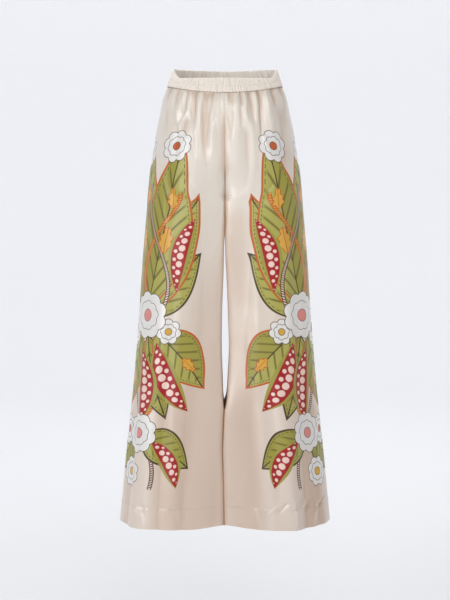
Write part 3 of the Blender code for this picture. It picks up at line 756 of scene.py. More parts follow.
PANELS = {}
FACES = {}
for part, bare in (("front_panel", FRONT_BARE), ("back_panel", BACK_BARE)):
    for side_name, leg_side in (("left", 1.0), ("right", -1.0)):
        name = f"{part}_{side_name}"
        PANELS[name], FACES[name] = panel_cloth(name, bare, leg_side)
        print(PANELS[name].name, 2 * len(PANELS[name].data.polygons), "triangles")

# %% [markdown]
# ## The gathered waistband
#
# The band is a strip of silk folded over elastic, sewn along its lower edge and once more round its middle.
# The elastic draws it into fine upright gathers, and it swells between its rows of stitches. It is a ring
# of its own: its lower edge follows the top of the panels and its upper edge is a smaller, tilted oval,
# lower at the front than at the back. The gathers are two sets of waves, fine and coarse, whose pitch
# wanders, which reads as hand-fed cloth. A single even wave would read as a rubber hose.

# %% Lower and upper edge of the band
BAND_TOP_SIDE = (0.1186, 0.002, 0.0205)
BAND_TOP_FRONT = (0.0, -0.0820, -0.0012)
BAND_TOP_BACK = (0.0, 0.0850, 0.0176)
BAND_TOP_ROUND = 0.60
BAND_TOP_CORNER = 0.48
FRONT_RISE_FROM = 0.73             # the front edge stays low up to this share of the way to the side
BACK_RISE_FROM = 0.0
BAND_COLUMNS = 290                 # in each quarter


def band_quarter(edges, top_middle, rise_from, shares):
    """Lower edge, upper edge and level way out of the waistband over one quarter."""
    seam = panel_row(edges, 0.0, shares)[0]
    middle = np.array(top_middle)
    side = np.array(BAND_TOP_SIDE)
    depth = middle[1] - side[1]
    middle_handle = middle + np.array([BAND_TOP_ROUND * side[0], 0.0, 0.0])
    side_handle = side + np.array([0.0, BAND_TOP_CORNER * depth, 0.0])
    top = even_curve(middle, middle_handle, side_handle, side, shares)[0]
    top[:, 2] = middle[2] + (side[2] - middle[2]) * soft_step(rise_from, 1.0, shares)
    across = np.gradient(seam, axis=0)
    outward = 1.0 if top_middle[1] > 0 else -1.0
    level = outward * np.stack([-across[:, 1], across[:, 0], np.zeros(len(shares))], axis=1)
    return seam, top, level / np.linalg.norm(level, axis=1)[:, None]


def band_ring():
    """The same three lines all round, from the centre front over the left side."""
    shares = np.arange(BAND_COLUMNS + 1) / BAND_COLUMNS
    mirror = np.array([-1.0, 1.0, 1.0])
    ring = []
    for front, back in zip(band_quarter(FRONT_EDGE, BAND_TOP_FRONT, FRONT_RISE_FROM, shares),
                           band_quarter(BACK_EDGE, BAND_TOP_BACK, BACK_RISE_FROM, shares)):
        left = np.concatenate([front[:-1], back[:0:-1]])
        right = np.concatenate([back[:-1], front[:0:-1]]) * mirror
        ring.append(np.concatenate([left, right]))
    return ring


# %% Gathers of the band
BAND_CLOTH = 0.0024
BAND_HEIGHT = 0.035
BAND_PUFF = 0.0010
PUFF_POWER = 0.7
INNER_PUFF = 0.3                   # the inside swells by this share of the outside
ROLL_FROM = 0.94                   # above this share of its height the band's edge rolls in
ROLL_SPAN = 0.0605                 # a trifle more than the rest, so that the rolled edge keeps a thickness
PINCH = 0.85                       # the seam takes this share of the lower edge's thickness
PINCH_REACH = 0.06
CHANGE_OF_SET = (0.40, 0.60)       # the stitches at mid-height part two different sets of gathers
FINE_GATHERS = 168
FINE_RISE = 0.00055
COARSE_GATHERS = 104
COARSE_RISE = 0.00085
WANDER_TURNS = (3, 5, 8, 13, 21)
PITCH_WANDER = 1.6
HEIGHT_WANDER = 0.16
ANY_PHASE = 6.28
BAND_ROWS = 26
SEAM_THREAD_OUT = 0.0012
SEAM_THREAD_DOWN = 0.0010
BAND_SEED = 5


def wandering_wave(dice, around, count):
    """A wave round the ring whose pitch and height wander, and which closes on itself."""
    phase = 2 * math.pi * count * around
    strength = np.ones_like(around)
    for turns in WANDER_TURNS:
        slow = 2 * math.pi * turns * around
        phase += dice.normal(0.0, PITCH_WANDER) * np.sin(slow + dice.uniform(0, ANY_PHASE))
        strength += HEIGHT_WANDER * np.sin(slow + dice.uniform(0, ANY_PHASE))
    return strength * np.sin(phase)


def band_grids():
    """Outer and inner face of the waistband, from its top edge down, and the line of its seam thread."""
    seam, top, level = band_ring()
    dice = np.random.default_rng(BAND_SEED)
    around = np.arange(len(seam)) / len(seam)
    upper_set = FINE_RISE * wandering_wave(dice, around, FINE_GATHERS)
    lower_set = FINE_RISE * wandering_wave(dice, around, FINE_GATHERS)
    coarse_upper = COARSE_RISE * wandering_wave(dice, around, COARSE_GATHERS)
    coarse_lower = COARSE_RISE * wandering_wave(dice, around, COARSE_GATHERS)
    outer_rows = []
    inner_rows = []
    for height in np.linspace(1.0, 0.0, BAND_ROWS):
        blend = soft_step(*CHANGE_OF_SET, height)
        gathered = blend * (upper_set + coarse_upper) + (1.0 - blend) * (lower_set + coarse_lower)
        puff = BAND_PUFF * abs(math.sin(2 * math.pi * height)) ** PUFF_POWER
        roll = math.sqrt(1.0 - (max(height - ROLL_FROM, 0.0) / ROLL_SPAN) ** 2)
        roll *= 1.0 - PINCH * math.exp(-(height / PINCH_REACH) ** 2)
        middle = seam + (top - seam) * height - level * BAND_CLOTH / 2
        outer_rows.append(middle + level * (roll * (BAND_CLOTH / 2 + puff) + gathered)[:, None])
        inner_rows.append(middle - level * (roll * BAND_CLOTH / 2 + INNER_PUFF * puff - gathered)[:, None])
    thread_line = seam + level * SEAM_THREAD_OUT - np.array([0.0, 0.0, SEAM_THREAD_DOWN])
    return np.array(outer_rows), np.array(inner_rows), thread_line


band_outer, band_inner, seam_line = band_grids()
WAISTBAND = cloth_wall("waistband_silk", band_outer, band_inner, ring=True)
band_around = np.linalg.norm(np.diff(band_outer[BAND_ROWS // 2], axis=0), axis=1).sum()
print(f"band: {1000 * band_around:.0f} mm of cloth round its middle")
print(WAISTBAND.name, 2 * len(WAISTBAND.data.polygons), "triangles")

# %% Places on the band
band_place = np.zeros((BAND_ROWS, 4 * BAND_COLUMNS, 3))
band_place[..., 0] = np.linspace(0.0, band_around, 4 * BAND_COLUMNS)
band_place[..., 1] = np.linspace(0.0, BAND_HEIGHT, BAND_ROWS)[:, None]
give(WAISTBAND, "print_place", np.concatenate([band_place.reshape(-1, 3)] * 2))
give(WAISTBAND, "inside", np.repeat([0.0, 1.0], BAND_ROWS * 4 * BAND_COLUMNS))

# %% [markdown]
# ## Stitches
#
# A stitch is a short round thread that dives into the cloth at both ends. There are over nine hundred of
# them, all alike, in rows that follow the cloth: a good job for Geometry Nodes. The tree takes a line,
# puts points on it at the stitch pitch, sets a small lens-shaped thread on each point, turned along the
# line, and makes one mesh of them. The lines come from the cloth's own grids, so the stitches lie on it.

# %% A tree that sews along a line
STITCH_SEGMENTS = 6
STITCH_RINGS = 5
UNEVEN_LENGTH = (0.85, 1.12)       # shortest and longest stitch, as shares of the usual length


def sewing_tree(material):
    """A Geometry Nodes tree with inputs for the pitch, the length and the thickness of a stitch."""
    tree = bpy.data.node_groups.new("sew_along_line", "GeometryNodeTree")
    tree.interface.new_socket("Line", in_out="INPUT", socket_type="NodeSocketGeometry")
    for name, value in (("Pitch", 0.003), ("Stitch Length", 0.002), ("Thread Width", 0.0005)):
        socket = tree.interface.new_socket(name, in_out="INPUT", socket_type="NodeSocketFloat")
        socket.default_value = value
    seed = tree.interface.new_socket("Seed", in_out="INPUT", socket_type="NodeSocketInt")
    seed.default_value = 1
    tree.interface.new_socket("Stitches", in_out="OUTPUT", socket_type="NodeSocketGeometry")

    def add(kind, settings=None, inputs=None):
        node = tree.nodes.new(kind)
        for key, value in (settings or {}).items():
            setattr(node, key, value)
        for key, value in (inputs or {}).items():
            if isinstance(value, bpy.types.NodeSocket):
                tree.links.new(value, node.inputs[key])
            else:
                node.inputs[key].default_value = value
        return node

    start = add("NodeGroupInput").outputs
    along = add("GeometryNodeResampleCurve", {"mode": "LENGTH"},
                {"Curve": start["Line"], "Length": start["Pitch"]})
    thread = add("GeometryNodeMeshUVSphere", None,
                 {"Segments": STITCH_SEGMENTS, "Rings": STITCH_RINGS, "Radius": 0.5})
    tangent = add("GeometryNodeInputTangent")
    turn = add("FunctionNodeAlignRotationToVector", {"axis": "X"}, {"Vector": tangent.outputs[0]})
    uneven = add("FunctionNodeRandomValue", {"data_type": "FLOAT"},
                 {2: UNEVEN_LENGTH[0], 3: UNEVEN_LENGTH[1], "Seed": start["Seed"]})
    longer = add("ShaderNodeMath", {"operation": "MULTIPLY"},
                 {0: start["Stitch Length"], 1: uneven.outputs[1]})
    size = add("ShaderNodeCombineXYZ", None,
               {"X": longer.outputs[0], "Y": start["Thread Width"], "Z": start["Thread Width"]})
    placed = add("GeometryNodeInstanceOnPoints", None,
                 {"Points": along.outputs[0], "Instance": thread.outputs[0],
                  "Rotation": turn.outputs[0], "Scale": size.outputs[0]})
    real = add("GeometryNodeRealizeInstances", None, {"Geometry": placed.outputs[0]})
    finished = add("GeometryNodeSetMaterial", None, {"Geometry": real.outputs[0], "Material": material})
    add("NodeGroupOutput", None, {"Stitches": finished.outputs[0]})
    return tree


# %% Sew a row of stitches
def sew(name, lines, tree, sizes):
    """A mesh of stitches along some lines of points, closed ones joining their ends."""
    curve = bpy.data.curves.new(name, "CURVE")
    curve.dimensions = "3D"
    for points, closed in lines:
        spline = curve.splines.new("POLY")
        spline.points.add(len(points) - 1)
        spline.points.foreach_set("co", np.column_stack([points, np.ones(len(points))]).ravel())
        spline.use_cyclic_u = closed
    guide = bpy.data.objects.new(name, curve)
    bpy.context.scene.collection.objects.link(guide)
    sewing = guide.modifiers.new("sewing", "NODES")
    sewing.node_group = tree
    sockets = {item.name: item.identifier for item in tree.interface.items_tree if item.in_out == "INPUT"}
    for label, value in sizes.items():
        sewing[sockets[label]] = value
    ready = guide.evaluated_get(bpy.context.evaluated_depsgraph_get())
    mesh = bpy.data.meshes.new_from_object(ready)
    bpy.data.objects.remove(guide)
    mesh.name = name
    mesh.shade_smooth()
    stitches = bpy.data.objects.new(name, mesh)
    bpy.context.scene.collection.objects.link(stitches)
    return stitches


# %% [markdown]
# ## Shader maths as sums
#
# A printed silk needs over a thousand small sums in its material. Written as nodes they would fill pages.
# The class below wraps a node's output, so that a sum in Python adds the Math node that does it. One
# method, `node`, adds any other kind of node.
#
# A mask here may go below 0 and above 1, because the Mix node limits its factor anyway. That keeps the tree
# small, and it lets the smaller of two masks stand for their overlap.

# %% Wires
class Wire:
    """An output of a node, ready for sums."""

    def __init__(self, tree, socket=None):
        self.tree = tree
        self.socket = socket

    def node(self, kind, settings=None, inputs=None, output=0):
        """Adds a node: its settings first, then the values or links of its sockets."""
        made = self.tree.nodes.new(kind)
        for name, value in (settings or {}).items():
            setattr(made, name, value)
        for name, value in (inputs or {}).items():
            if isinstance(value, Wire):
                self.tree.links.new(value.socket, made.inputs[name])
            else:
                made.inputs[name].default_value = value
        return Wire(self.tree, made.outputs[output])

    def math(self, operation, *values):
        return self.node("ShaderNodeMath", {"operation": operation}, dict(enumerate((self, *values))))

    def __add__(self, other):
        return self.math("ADD", other)

    def __sub__(self, other):
        return self.math("SUBTRACT", other)

    def __mul__(self, other):
        return self.math("MULTIPLY", other)

    def __and__(self, other):
        """Where two masks overlap, or one mask at no more than a stated strength."""
        return self.math("MINIMUM", other)

    def __abs__(self):
        return self.math("ABSOLUTE")

    def __rsub__(self, other):
        return self.math("MULTIPLY_ADD", -1.0, other)

    __radd__ = __add__
    __rmul__ = __mul__

    def parts(self):
        """The first two numbers of a vector."""
        split = self.tree.nodes.new("ShaderNodeSeparateXYZ")
        self.tree.links.new(self.socket, split.inputs[0])
        return Wire(self.tree, split.outputs[0]), Wire(self.tree, split.outputs[1])

    def ink(self, soft):
        """A mask: over 1 where the number is above nought, with an edge as soft as stated."""
        return self.math("MULTIPLY_ADD", 1.0 / soft, 0.5)

    def under(self, colour, mask):
        """This colour with another one printed over it where the mask is 1 or more."""
        return self.node("ShaderNodeMix", {"data_type": "RGBA"}, {0: mask, 6: self, 7: colour}, output=2)


def colour(code):
    """A linear colour from the usual six digits."""
    levels = [int(code[at:at + 2], 16) / 255 for at in (1, 3, 5)]
    return tuple(((x + 0.055) / 1.055) ** 2.4 if x > 0.04045 else x / 12.92 for x in levels) + (1.0,)


def new_finish(name):
    """An empty material with a Principled shader, as a wire to start from and the shader."""
    material = bpy.data.materials.new(name)
    material.use_nodes = True
    return material, Wire(material.node_tree), material.node_tree.nodes["Principled BSDF"]


# %% [markdown]
# ## The print
#
# The print is a climbing border up the outer side of each leg: large olive leaves on twined stems, white
# blossoms, and crimson seed pods. It is laid out on the flat cloth, in metres from the side seam and from
# the waist seam, so it bends with the cloth and runs round the side of the leg, mirrored at the seam.
# Each motif is one formula in its own small frame, with x along it and y across it, where a number above
# nought means inside. That number also gives the outline, the rim and the veins, which lie at fixed
# distances from the edge. It stays sharp at any size, which a picture of the print would not.

# %% Colours of the print
INK = {
    "olive": colour("#A09940"),
    "light_olive": colour("#ADA852"),
    "dark_olive": colour("#62581E"),
    "orange": colour("#C25A23"),
    "gold": colour("#D8A636"),
    "crimson": colour("#A50E19"),
    "blush": colour("#EFD0C2"),
    "pink": colour("#DF8A82"),
    "white": colour("#E6E3DF"),
    "umber": colour("#47331C"),
}
FINE_EDGE = 0.0009                 # how soft a printed edge is, in metres


def own_frame(place, base, tip, half_width):
    """A motif's x and y: x runs from -1 at its base to 1 at its tip, y is 1 at its half width."""
    middle = ((base[0] + tip[0]) / 2, (base[1] + tip[1]) / 2, 0.0)
    length = math.dist(base, tip)
    turn = (0.0, 0.0, math.atan2(tip[1] - base[1], tip[0] - base[0]))
    local = place.node("ShaderNodeMapping", {"vector_type": "TEXTURE"},
                       {"Vector": place, "Location": middle, "Rotation": turn,
                        "Scale": (length / 2, half_width, 1.0)})
    return local.parts()


# %% Leaves
Leaf = namedtuple("Leaf", "base tip half_width bend veins rim")
BACK_LEAVES = [
    Leaf((0.030, 0.505), (-0.062, 0.185), 0.056, -0.14, 8.0, "umber"),
    Leaf((0.050, 0.505), (0.028, 0.125), 0.060, 0.10, 8.0, "orange"),
    Leaf((0.100, 0.530), (0.202, 0.378), 0.046, -0.16, 6.0, "umber"),
    Leaf((0.095, 0.520), (0.186, 0.215), 0.056, -0.12, 8.0, "orange"),
    Leaf((0.072, 0.520), (0.128, 0.112), 0.068, 0.14, 9.0, "orange"),
]
FRONT_LEAVES = [
    Leaf((0.085, 0.570), (0.148, 0.765), 0.044, 0.14, 6.0, "umber"),
    Leaf((0.104, 0.560), (0.232, 0.694), 0.054, -0.16, 7.0, "orange"),
    Leaf((0.062, 0.570), (0.006, 0.750), 0.050, 0.12, 6.0, "orange"),
    Leaf((0.094, 0.800), (0.216, 0.880), 0.042, -0.15, 6.0, "umber"),
    Leaf((0.070, 0.800), (-0.010, 0.905), 0.042, 0.14, 6.0, "umber"),
]


LEAF_TAPER = -0.35                 # below nought the leaf is widest near its base
VEIN_LEAN = 0.55
VEIN_FINENESS = 0.80               # nearer 1 the veins are thinner
VEIN_INK = 0.8
DASHES_A_VEIN = 3.0
DASH_LEAN = 0.3
DASH_LENGTH = 0.2
# Lines of a leaf, in millimetres: first how far they lie inside its edge, then half widths.
VEINS_INSIDE = 15
VEINS_FADE = 12
DASHES_INSIDE = 9
MIDRIB = 1.5
DASH_LINE = 0.8
RIM_LINE = 2.3


def print_leaf(cloth, place, leaf):
    """An olive leaf in two tones, with a midrib, side veins, a rim and a dashed line inside the rim."""
    x, y = own_frame(place, leaf.base, leaf.tip, leaf.half_width)
    mm = 0.001 / leaf.half_width
    soft = FINE_EDGE / leaf.half_width
    bow = 1.0 - x * x
    side = y - bow * leaf.bend
    far = abs(side)
    inside = bow * (x * LEAF_TAPER).math("EXPONENT") - far
    shape = inside.ink(soft)
    veins = ((x - far * VEIN_LEAN) * (leaf.veins * math.pi)).math("SINE") - VEIN_FINENESS
    dashes = ((x - far * DASH_LEAN) * (leaf.veins * DASHES_A_VEIN * math.pi)).math("SINE") + DASH_LENGTH
    cloth = cloth.under(INK["olive"], shape)
    cloth = cloth.under(INK["light_olive"], shape & side.ink(soft))
    veined = (inside - VEINS_INSIDE * mm).ink(VEINS_FADE * mm)
    cloth = cloth.under(INK["dark_olive"], veined & veins.ink(0.5) & VEIN_INK)
    cloth = cloth.under(INK["umber"], (MIDRIB * mm - far).ink(soft) & shape)
    dash_line = (DASH_LINE * mm - abs(inside - DASHES_INSIDE * mm)).ink(soft)
    cloth = cloth.under(INK["umber"], dash_line & dashes.ink(0.3))
    return cloth.under(INK[leaf.rim], (RIM_LINE * mm - abs(inside - RIM_LINE * mm)).ink(soft))


# %% Seed pods
Pod = namedtuple("Pod", "base tip half_width bend seed_pitch")
PODS = [
    Pod((0.150, 0.470), (0.180, 0.285), 0.0180, -0.75, 0.0190),
    Pod((0.112, 0.585), (0.200, 0.745), 0.0225, 0.85, 0.0205),
    Pod((0.066, 0.600), (0.086, 0.775), 0.0205, -0.80, 0.0195),
    Pod((0.120, 0.815), (0.190, 0.925), 0.0180, -0.80, 0.0180),
]


HUSK = 0.40                        # how much wider the husk is than the pod inside it
SEED_FILL = 0.42                   # no seed is larger than this share of the seeds' pitch
SeedRow = namedtuple("SeedRow", "shift across size")
SEED_ROWS = [SeedRow(0.0, 0.20, 0.43), SeedRow(0.5, -0.52, 0.24)]


def print_pod(cloth, place, pod):
    """A curved crimson pod in an olive husk, with large and small pale seeds."""
    x, y = own_frame(place, pod.base, pod.tip, pod.half_width)
    soft = FINE_EDGE / pod.half_width
    bow = 1.0 - x * x
    side = y - bow * pod.bend
    inside = bow - abs(side)
    cloth = cloth.under(INK["olive"], (inside + HUSK * bow).ink(soft))
    cloth = cloth.under(INK["crimson"], inside.ink(soft))
    cells = math.dist(pod.base, pod.tip) / pod.seed_pitch
    pitch = pod.seed_pitch / pod.half_width
    for row in SEED_ROWS:
        cell = (x * (cells / 2) + row.shift).math("FRACT") - 0.5
        along = cell * pitch
        off = side - bow * row.across
        seed = ((bow * row.size) & (SEED_FILL * pitch)) - (along * along + off * off).math("SQRT")
        cloth = cloth.under(INK["blush"], seed.ink(soft))
    return cloth


# %% Blossoms
Blossom = namedtuple("Blossom", "u v radius petals turn heart")
BLOSSOMS = [
    Blossom(0.112, 0.135, 0.037, 8, 0.2, "orange"),
    Blossom(0.012, 0.150, 0.034, 7, 0.1, "gold"),
    Blossom(0.138, 0.560, 0.030, 7, 0.3, "gold"),
    Blossom(0.012, 0.560, 0.043, 8, 0.5, "orange"),
    Blossom(0.076, 0.525, 0.056, 9, 0.0, "pink"),
    Blossom(0.022, 0.800, 0.036, 8, 0.4, "orange"),
    Blossom(0.084, 0.800, 0.048, 9, 0.1, "pink"),
    Blossom(0.060, 0.895, 0.036, 8, 0.0, "gold"),
]


PETAL_ROUNDNESS = 1.15             # over 1 a petal is a little narrower than long
PETAL_LINE = 0.0013
HEART = 0.24
CREASE_REACH = 0.46                # the lines between the outer petals end here
# How far from the heart a ring's petals have their middles, and how large they are.
OUTER_RING = (0.62, 0.36)
INNER_RING = (0.36, 0.24)
INNER_TURN = 0.5


def petal_ring(x, y, petals, turn, middle, size):
    """How far inside the nearest petal of a ring a point lies; petals are round."""
    step = 2 * math.pi / petals
    angle = y.math("ARCTAN2", x) + (turn + 4 * math.pi)
    near = (angle * (1.0 / step)).math("FRACT") * step - step / 2
    reach = (x * x + y * y).math("SQRT")
    along = reach * near.math("COSINE") - middle
    across = reach * near.math("SINE")
    return size - (along * along + across * across * PETAL_ROUNDNESS).math("SQRT"), abs(across), reach


def print_blossom(cloth, place, blossom):
    """Two rings of white petals with fine dark outlines, round a coloured heart."""
    tip = (blossom.u + blossom.radius, blossom.v)
    base = (blossom.u - blossom.radius, blossom.v)
    x, y = own_frame(place, base, tip, blossom.radius)
    soft = FINE_EDGE / blossom.radius
    line = PETAL_LINE / blossom.radius
    back, back_across, reach = petal_ring(x, y, blossom.petals, blossom.turn, *OUTER_RING)
    front = petal_ring(x, y, blossom.petals, blossom.turn + INNER_TURN, *INNER_RING)[0]
    cloth = cloth.under(INK["umber"], (back + line).ink(soft))
    cloth = cloth.under(INK["white"], (back - 0.2 * line).ink(soft))
    cloth = cloth.under(INK["umber"], (0.7 * line - back_across).ink(soft) & (CREASE_REACH - reach).ink(soft))
    cloth = cloth.under(INK["umber"], (front + line).ink(soft))
    cloth = cloth.under(INK["white"], front.ink(soft))
    cloth = cloth.under(INK["umber"], (HEART + line - reach).ink(soft))
    return cloth.under(INK[blossom.heart], (HEART - reach).ink(soft))


# %% Twined stems
Stem = namedtuple("Stem", "middle swing wave start half_width ink edge")
STEMS = [
    Stem(0.100, 0.044, 0.44, 0.10, 0.0056, "orange", "gold"),
    Stem(0.090, -0.040, 0.44, 0.13, 0.0050, "umber", "blush"),
]
STEM_TOP = 0.22
STEM_FOOT = 0.93
HATCH = 0.0055
HATCH_LEAN = 0.5
HATCH_SOFT = 0.8
HATCHED_SHARE = 0.55               # the hatched middle, as a share of the stem's width


def print_stem(cloth, u, v, stem):
    """A ribbon of a stem that climbs in waves, hatched across."""
    wave = (v * (2 * math.pi / stem.wave) - 2 * math.pi * stem.start / stem.wave).math("SINE")
    off = abs(u - wave * stem.swing - stem.middle)
    ends = (v - STEM_TOP).ink(FINE_EDGE) & (STEM_FOOT - v).ink(FINE_EDGE)
    cloth = cloth.under(INK[stem.ink], (stem.half_width - off).ink(FINE_EDGE) & ends)
    hatch = ((v + u * HATCH_LEAN) * (2 * math.pi / HATCH)).math("SINE").ink(HATCH_SOFT)
    middle = (stem.half_width * HATCHED_SHARE - off).ink(FINE_EDGE)
    return cloth.under(INK[stem.edge], middle & ends & hatch)


# %% Gold sprigs
Sprig = namedtuple("Sprig", "u v length turn")
SPRIGS = [
    Sprig(0.112, 0.380, 0.070, -1.45),
    Sprig(0.124, 0.265, 0.056, -1.60),
    Sprig(0.150, 0.400, 0.044, -1.20),
    Sprig(0.038, 0.380, 0.062, -1.65),
    Sprig(0.034, 0.270, 0.050, -1.50),
    Sprig(0.176, 0.622, 0.046, 0.75),
    Sprig(0.032, 0.660, 0.042, 1.90),
    Sprig(0.142, 0.852, 0.034, 0.60),
]


SPRIG_WIDTH = 0.24                 # half its width, as a share of its length
SPRIG_TAPER = -0.5
SPRIG_ENDS = 1.02
NOTCHES = 12.0
NOTCH_DEPTH = 0.16
SPRIG_RIM = 0.0024
SPRIG_MIDRIB = 0.06


def print_sprig(cloth, place, sprig):
    """A small gold leaf with an orange edge."""
    tip = (sprig.u + sprig.length * math.cos(sprig.turn), sprig.v + sprig.length * math.sin(sprig.turn))
    width = SPRIG_WIDTH * sprig.length
    x, y = own_frame(place, (sprig.u, sprig.v), tip, width)
    notch = (x * NOTCHES).math("SINE") * NOTCH_DEPTH
    inside = (1.0 - x * x) * (x * SPRIG_TAPER).math("EXPONENT") + notch - abs(y)
    soft = FINE_EDGE / width
    body = (SPRIG_ENDS - abs(x)).ink(soft)
    cloth = cloth.under(INK["orange"], inside.ink(soft) & body)
    middle = (inside - SPRIG_RIM / width).ink(soft)
    return cloth.under(INK["gold"], middle & (abs(y) - SPRIG_MIDRIB).ink(soft) & body)


def print_border(cloth, place):
    """The whole print over a plain cloth colour."""
    u, v = place.parts()
    for leaf in BACK_LEAVES:
        cloth = print_leaf(cloth, place, leaf)
    for stem in STEMS:
        cloth = print_stem(cloth, u, v, stem)
    for leaf in FRONT_LEAVES:
        cloth = print_leaf(cloth, place, leaf)
    for sprig in SPRIGS:
        cloth = print_sprig(cloth, place, sprig)
    for pod in PODS:
        cloth = print_pod(cloth, place, pod)
    for blossom in BLOSSOMS:
        cloth = print_blossom(cloth, place, blossom)
    return cloth


# %% [markdown]
# ## Silk
#
# The cloth is a soft satin: a fine twill that shines in long smooth lights down the folds. Its cream also
# carries painted shade: rosier and darker down the legs, and tan to brown in the valleys, in the seam
# grooves and beside the inseam, for light that the silk passes on or throws back into its shade. Faint
# streaks run along the warp where one yarn is thicker than the next. The weave itself is far too fine for
# geometry, so it is a bump.

# %% Ground of the silk and its painted shade
CREAM = colour("#E3DACE")
# Rosier, darker cream down the legs: painted shade for their dimmer, warmer light.
LEG_SHADE_CREAM = colour("#E1D1C3")
CREAM_STREAK = colour("#D9CABB")
VALLEY_SHADE_TAN = colour("#C3A186")
DEEP_SHADE_BROWN = colour("#A5714B")
# The silk's paler reverse, made paler still as painted light for the inside, where little light falls; the
# band's face is paled towards it too.
REVERSE_AND_PAINTED_LIGHT = colour("#FFF7EE")
REVERSE_SHARE = 0.45
LEG_SHADE_FROM = 0.20                   # the painted shade of the legs starts this many metres below the waist seam
LEG_SHADE_RATE = 2.2
STREAK_SCALE = (700.0, 12.0, 1.0)
STREAK_FROM = 0.45
STREAK_MOST = 0.25
# How fast a valley's painted shade grows with its depth in metres, where it starts, and how strong it gets:
# tan first, then brown where it is deepest.
TAN_RATE, TAN_FROM, TAN_MOST = 130.0, 0.05, 0.62
BROWN_RATE, BROWN_FROM, BROWN_MOST = 150.0, 1.20, 0.75
TWILL_PITCH = 0.0009
TWILL_LEAN = 0.8
TWILL_SHARE = 0.25
SLUB_SCALE = (420.0, 60.0, 1.0)
WEAVE_DEPTH = 0.0003


def yarn_noise(start, place, scale):
    """Noise drawn out along the warp by its scale."""
    drawn_out = place.node("ShaderNodeMapping", None, {"Vector": place, "Scale": scale})
    return start.node("ShaderNodeTexNoise", {"noise_dimensions": "2D"},
                      {"Vector": drawn_out, "Scale": 1.0, "Detail": 2.0})


def silk_ground(start, place, depth=None):
    """Cream with faint streaks along the warp, and painted shade: rosier down the legs, tan to brown in the
    valleys.
    """
    drop = place.parts()[1]
    # Painted shade: the cream turns rosier and darker down the legs.
    ground = start.node("ShaderNodeMix", {"data_type": "RGBA"},
                        {0: (drop - LEG_SHADE_FROM) * LEG_SHADE_RATE, 6: CREAM, 7: LEG_SHADE_CREAM}, output=2)
    streaks = yarn_noise(start, place, STREAK_SCALE)
    ground = ground.under(CREAM_STREAK, (streaks - STREAK_FROM) & STREAK_MOST)
    if depth is None:
        return ground
    # Painted shade: tan, then brown, in the valleys, the seam grooves and beside the inseam.
    ground = ground.under(VALLEY_SHADE_TAN, (depth * -TAN_RATE - TAN_FROM) & TAN_MOST)
    return ground.under(DEEP_SHADE_BROWN, (depth * -BROWN_RATE - BROWN_FROM) & BROWN_MOST)


def weave_bump(start, place, shader, strength):
    """A twill line across warp and weft, with a slight slub, into the shader's normal."""
    u, v = place.parts()
    twill = ((u + v * TWILL_LEAN) * (2 * math.pi / TWILL_PITCH)).math("SINE")
    height = twill * TWILL_SHARE + yarn_noise(start, place, SLUB_SCALE)
    bump = start.node("ShaderNodeBump", None,
                      {"Strength": strength, "Distance": WEAVE_DEPTH, "Height": height})
    start.tree.links.new(bump.socket, shader.inputs["Normal"])


# %% The finishes
# The shine of the face grows with its paleness, so the inks stay deep where the cream shines.
SHINE_RATE, SHINE_FROM, SHINE_MOST = 1.6, 0.5, 0.55
DARKER_TWIST = 0.7


def link_shader(shader, name, wire):
    """Feeds one socket of a shader."""
    wire.tree.links.new(wire.socket, shader.inputs[name])


def set_shader(shader, values):
    """Sets plain numbers and colours on a shader's sockets."""
    for name, value in values.items():
        shader.inputs[name].default_value = value


def printed_silk():
    """The panels' finish: printed on the face, paler on the reverse, partly its own paleness and partly
    painted light.
    """
    material, start, shader = new_finish("printed_silk")
    place = start.node("ShaderNodeAttribute", {"attribute_name": "print_place"}, None, output="Vector")
    # How deep each point lies in painted shade, from its folds, seams and the inseam.
    depth = start.node("ShaderNodeAttribute", {"attribute_name": "painted_shade_depth"}, None, output="Fac")
    inside = start.node("ShaderNodeAttribute", {"attribute_name": "inside"}, None, output="Fac")
    face = print_border(silk_ground(start, place, depth), place)
    shine = face.node("ShaderNodeRGBToBW", None, {"Color": face})
    link_shader(shader, "Coat Weight", (shine * SHINE_RATE - SHINE_FROM) & SHINE_MOST)
    link_shader(shader, "Base Color", face.under(REVERSE_AND_PAINTED_LIGHT, inside * REVERSE_SHARE))
    weave_bump(start, place, shader, strength=0.25)
    set_shader(shader, {"Coat Roughness": 0.29, "Coat IOR": 1.7, "Roughness": 0.36, "IOR": 1.50,
                        "Sheen Weight": 0.04, "Sheen Roughness": 0.4})
    return material


def band_silk():
    """The waistband's finish: plain cream paled by painted light on its face, and wholly pale inside, partly
    its paler reverse and partly painted light.
    """
    material, start, shader = new_finish("gathered_silk")
    place = start.node("ShaderNodeAttribute", {"attribute_name": "print_place"}, None, output="Vector")
    inside = start.node("ShaderNodeAttribute", {"attribute_name": "inside"}, None, output="Fac")
    # Painted light: the band's face is paled towards the reverse, and its inside is wholly pale.
    ground = silk_ground(start, place).under(REVERSE_AND_PAINTED_LIGHT, REVERSE_SHARE)
    link_shader(shader, "Base Color", ground.under(REVERSE_AND_PAINTED_LIGHT, inside))
    weave_bump(start, place, shader, strength=0.2)
    set_shader(shader, {"Roughness": 0.46, "Sheen Weight": 0.12, "Sheen Roughness": 0.4})
    return material


def thread_finish(name, code):
    """Twisted thread."""
    material, start, shader = new_finish(name)
    place = start.node("ShaderNodeTexCoord", None, None, output="Object")
    twist = start.node("ShaderNodeTexNoise", None, {"Vector": place, "Scale": 900.0, "Detail": 1.0})
    darker = tuple(DARKER_TWIST * level for level in colour(code)[:3]) + (1.0,)
    mixed = start.node("ShaderNodeMix", {"data_type": "RGBA"},
                       {0: twist, 6: colour(code), 7: darker}, output=2)
    link_shader(shader, "Base Color", mixed)
    set_shader(shader, {"Roughness": 0.6})
    return material


PRINTED = printed_silk()
BAND_FINISH = band_silk()
THREAD = thread_finish("cream_thread", "#D6C4B2")
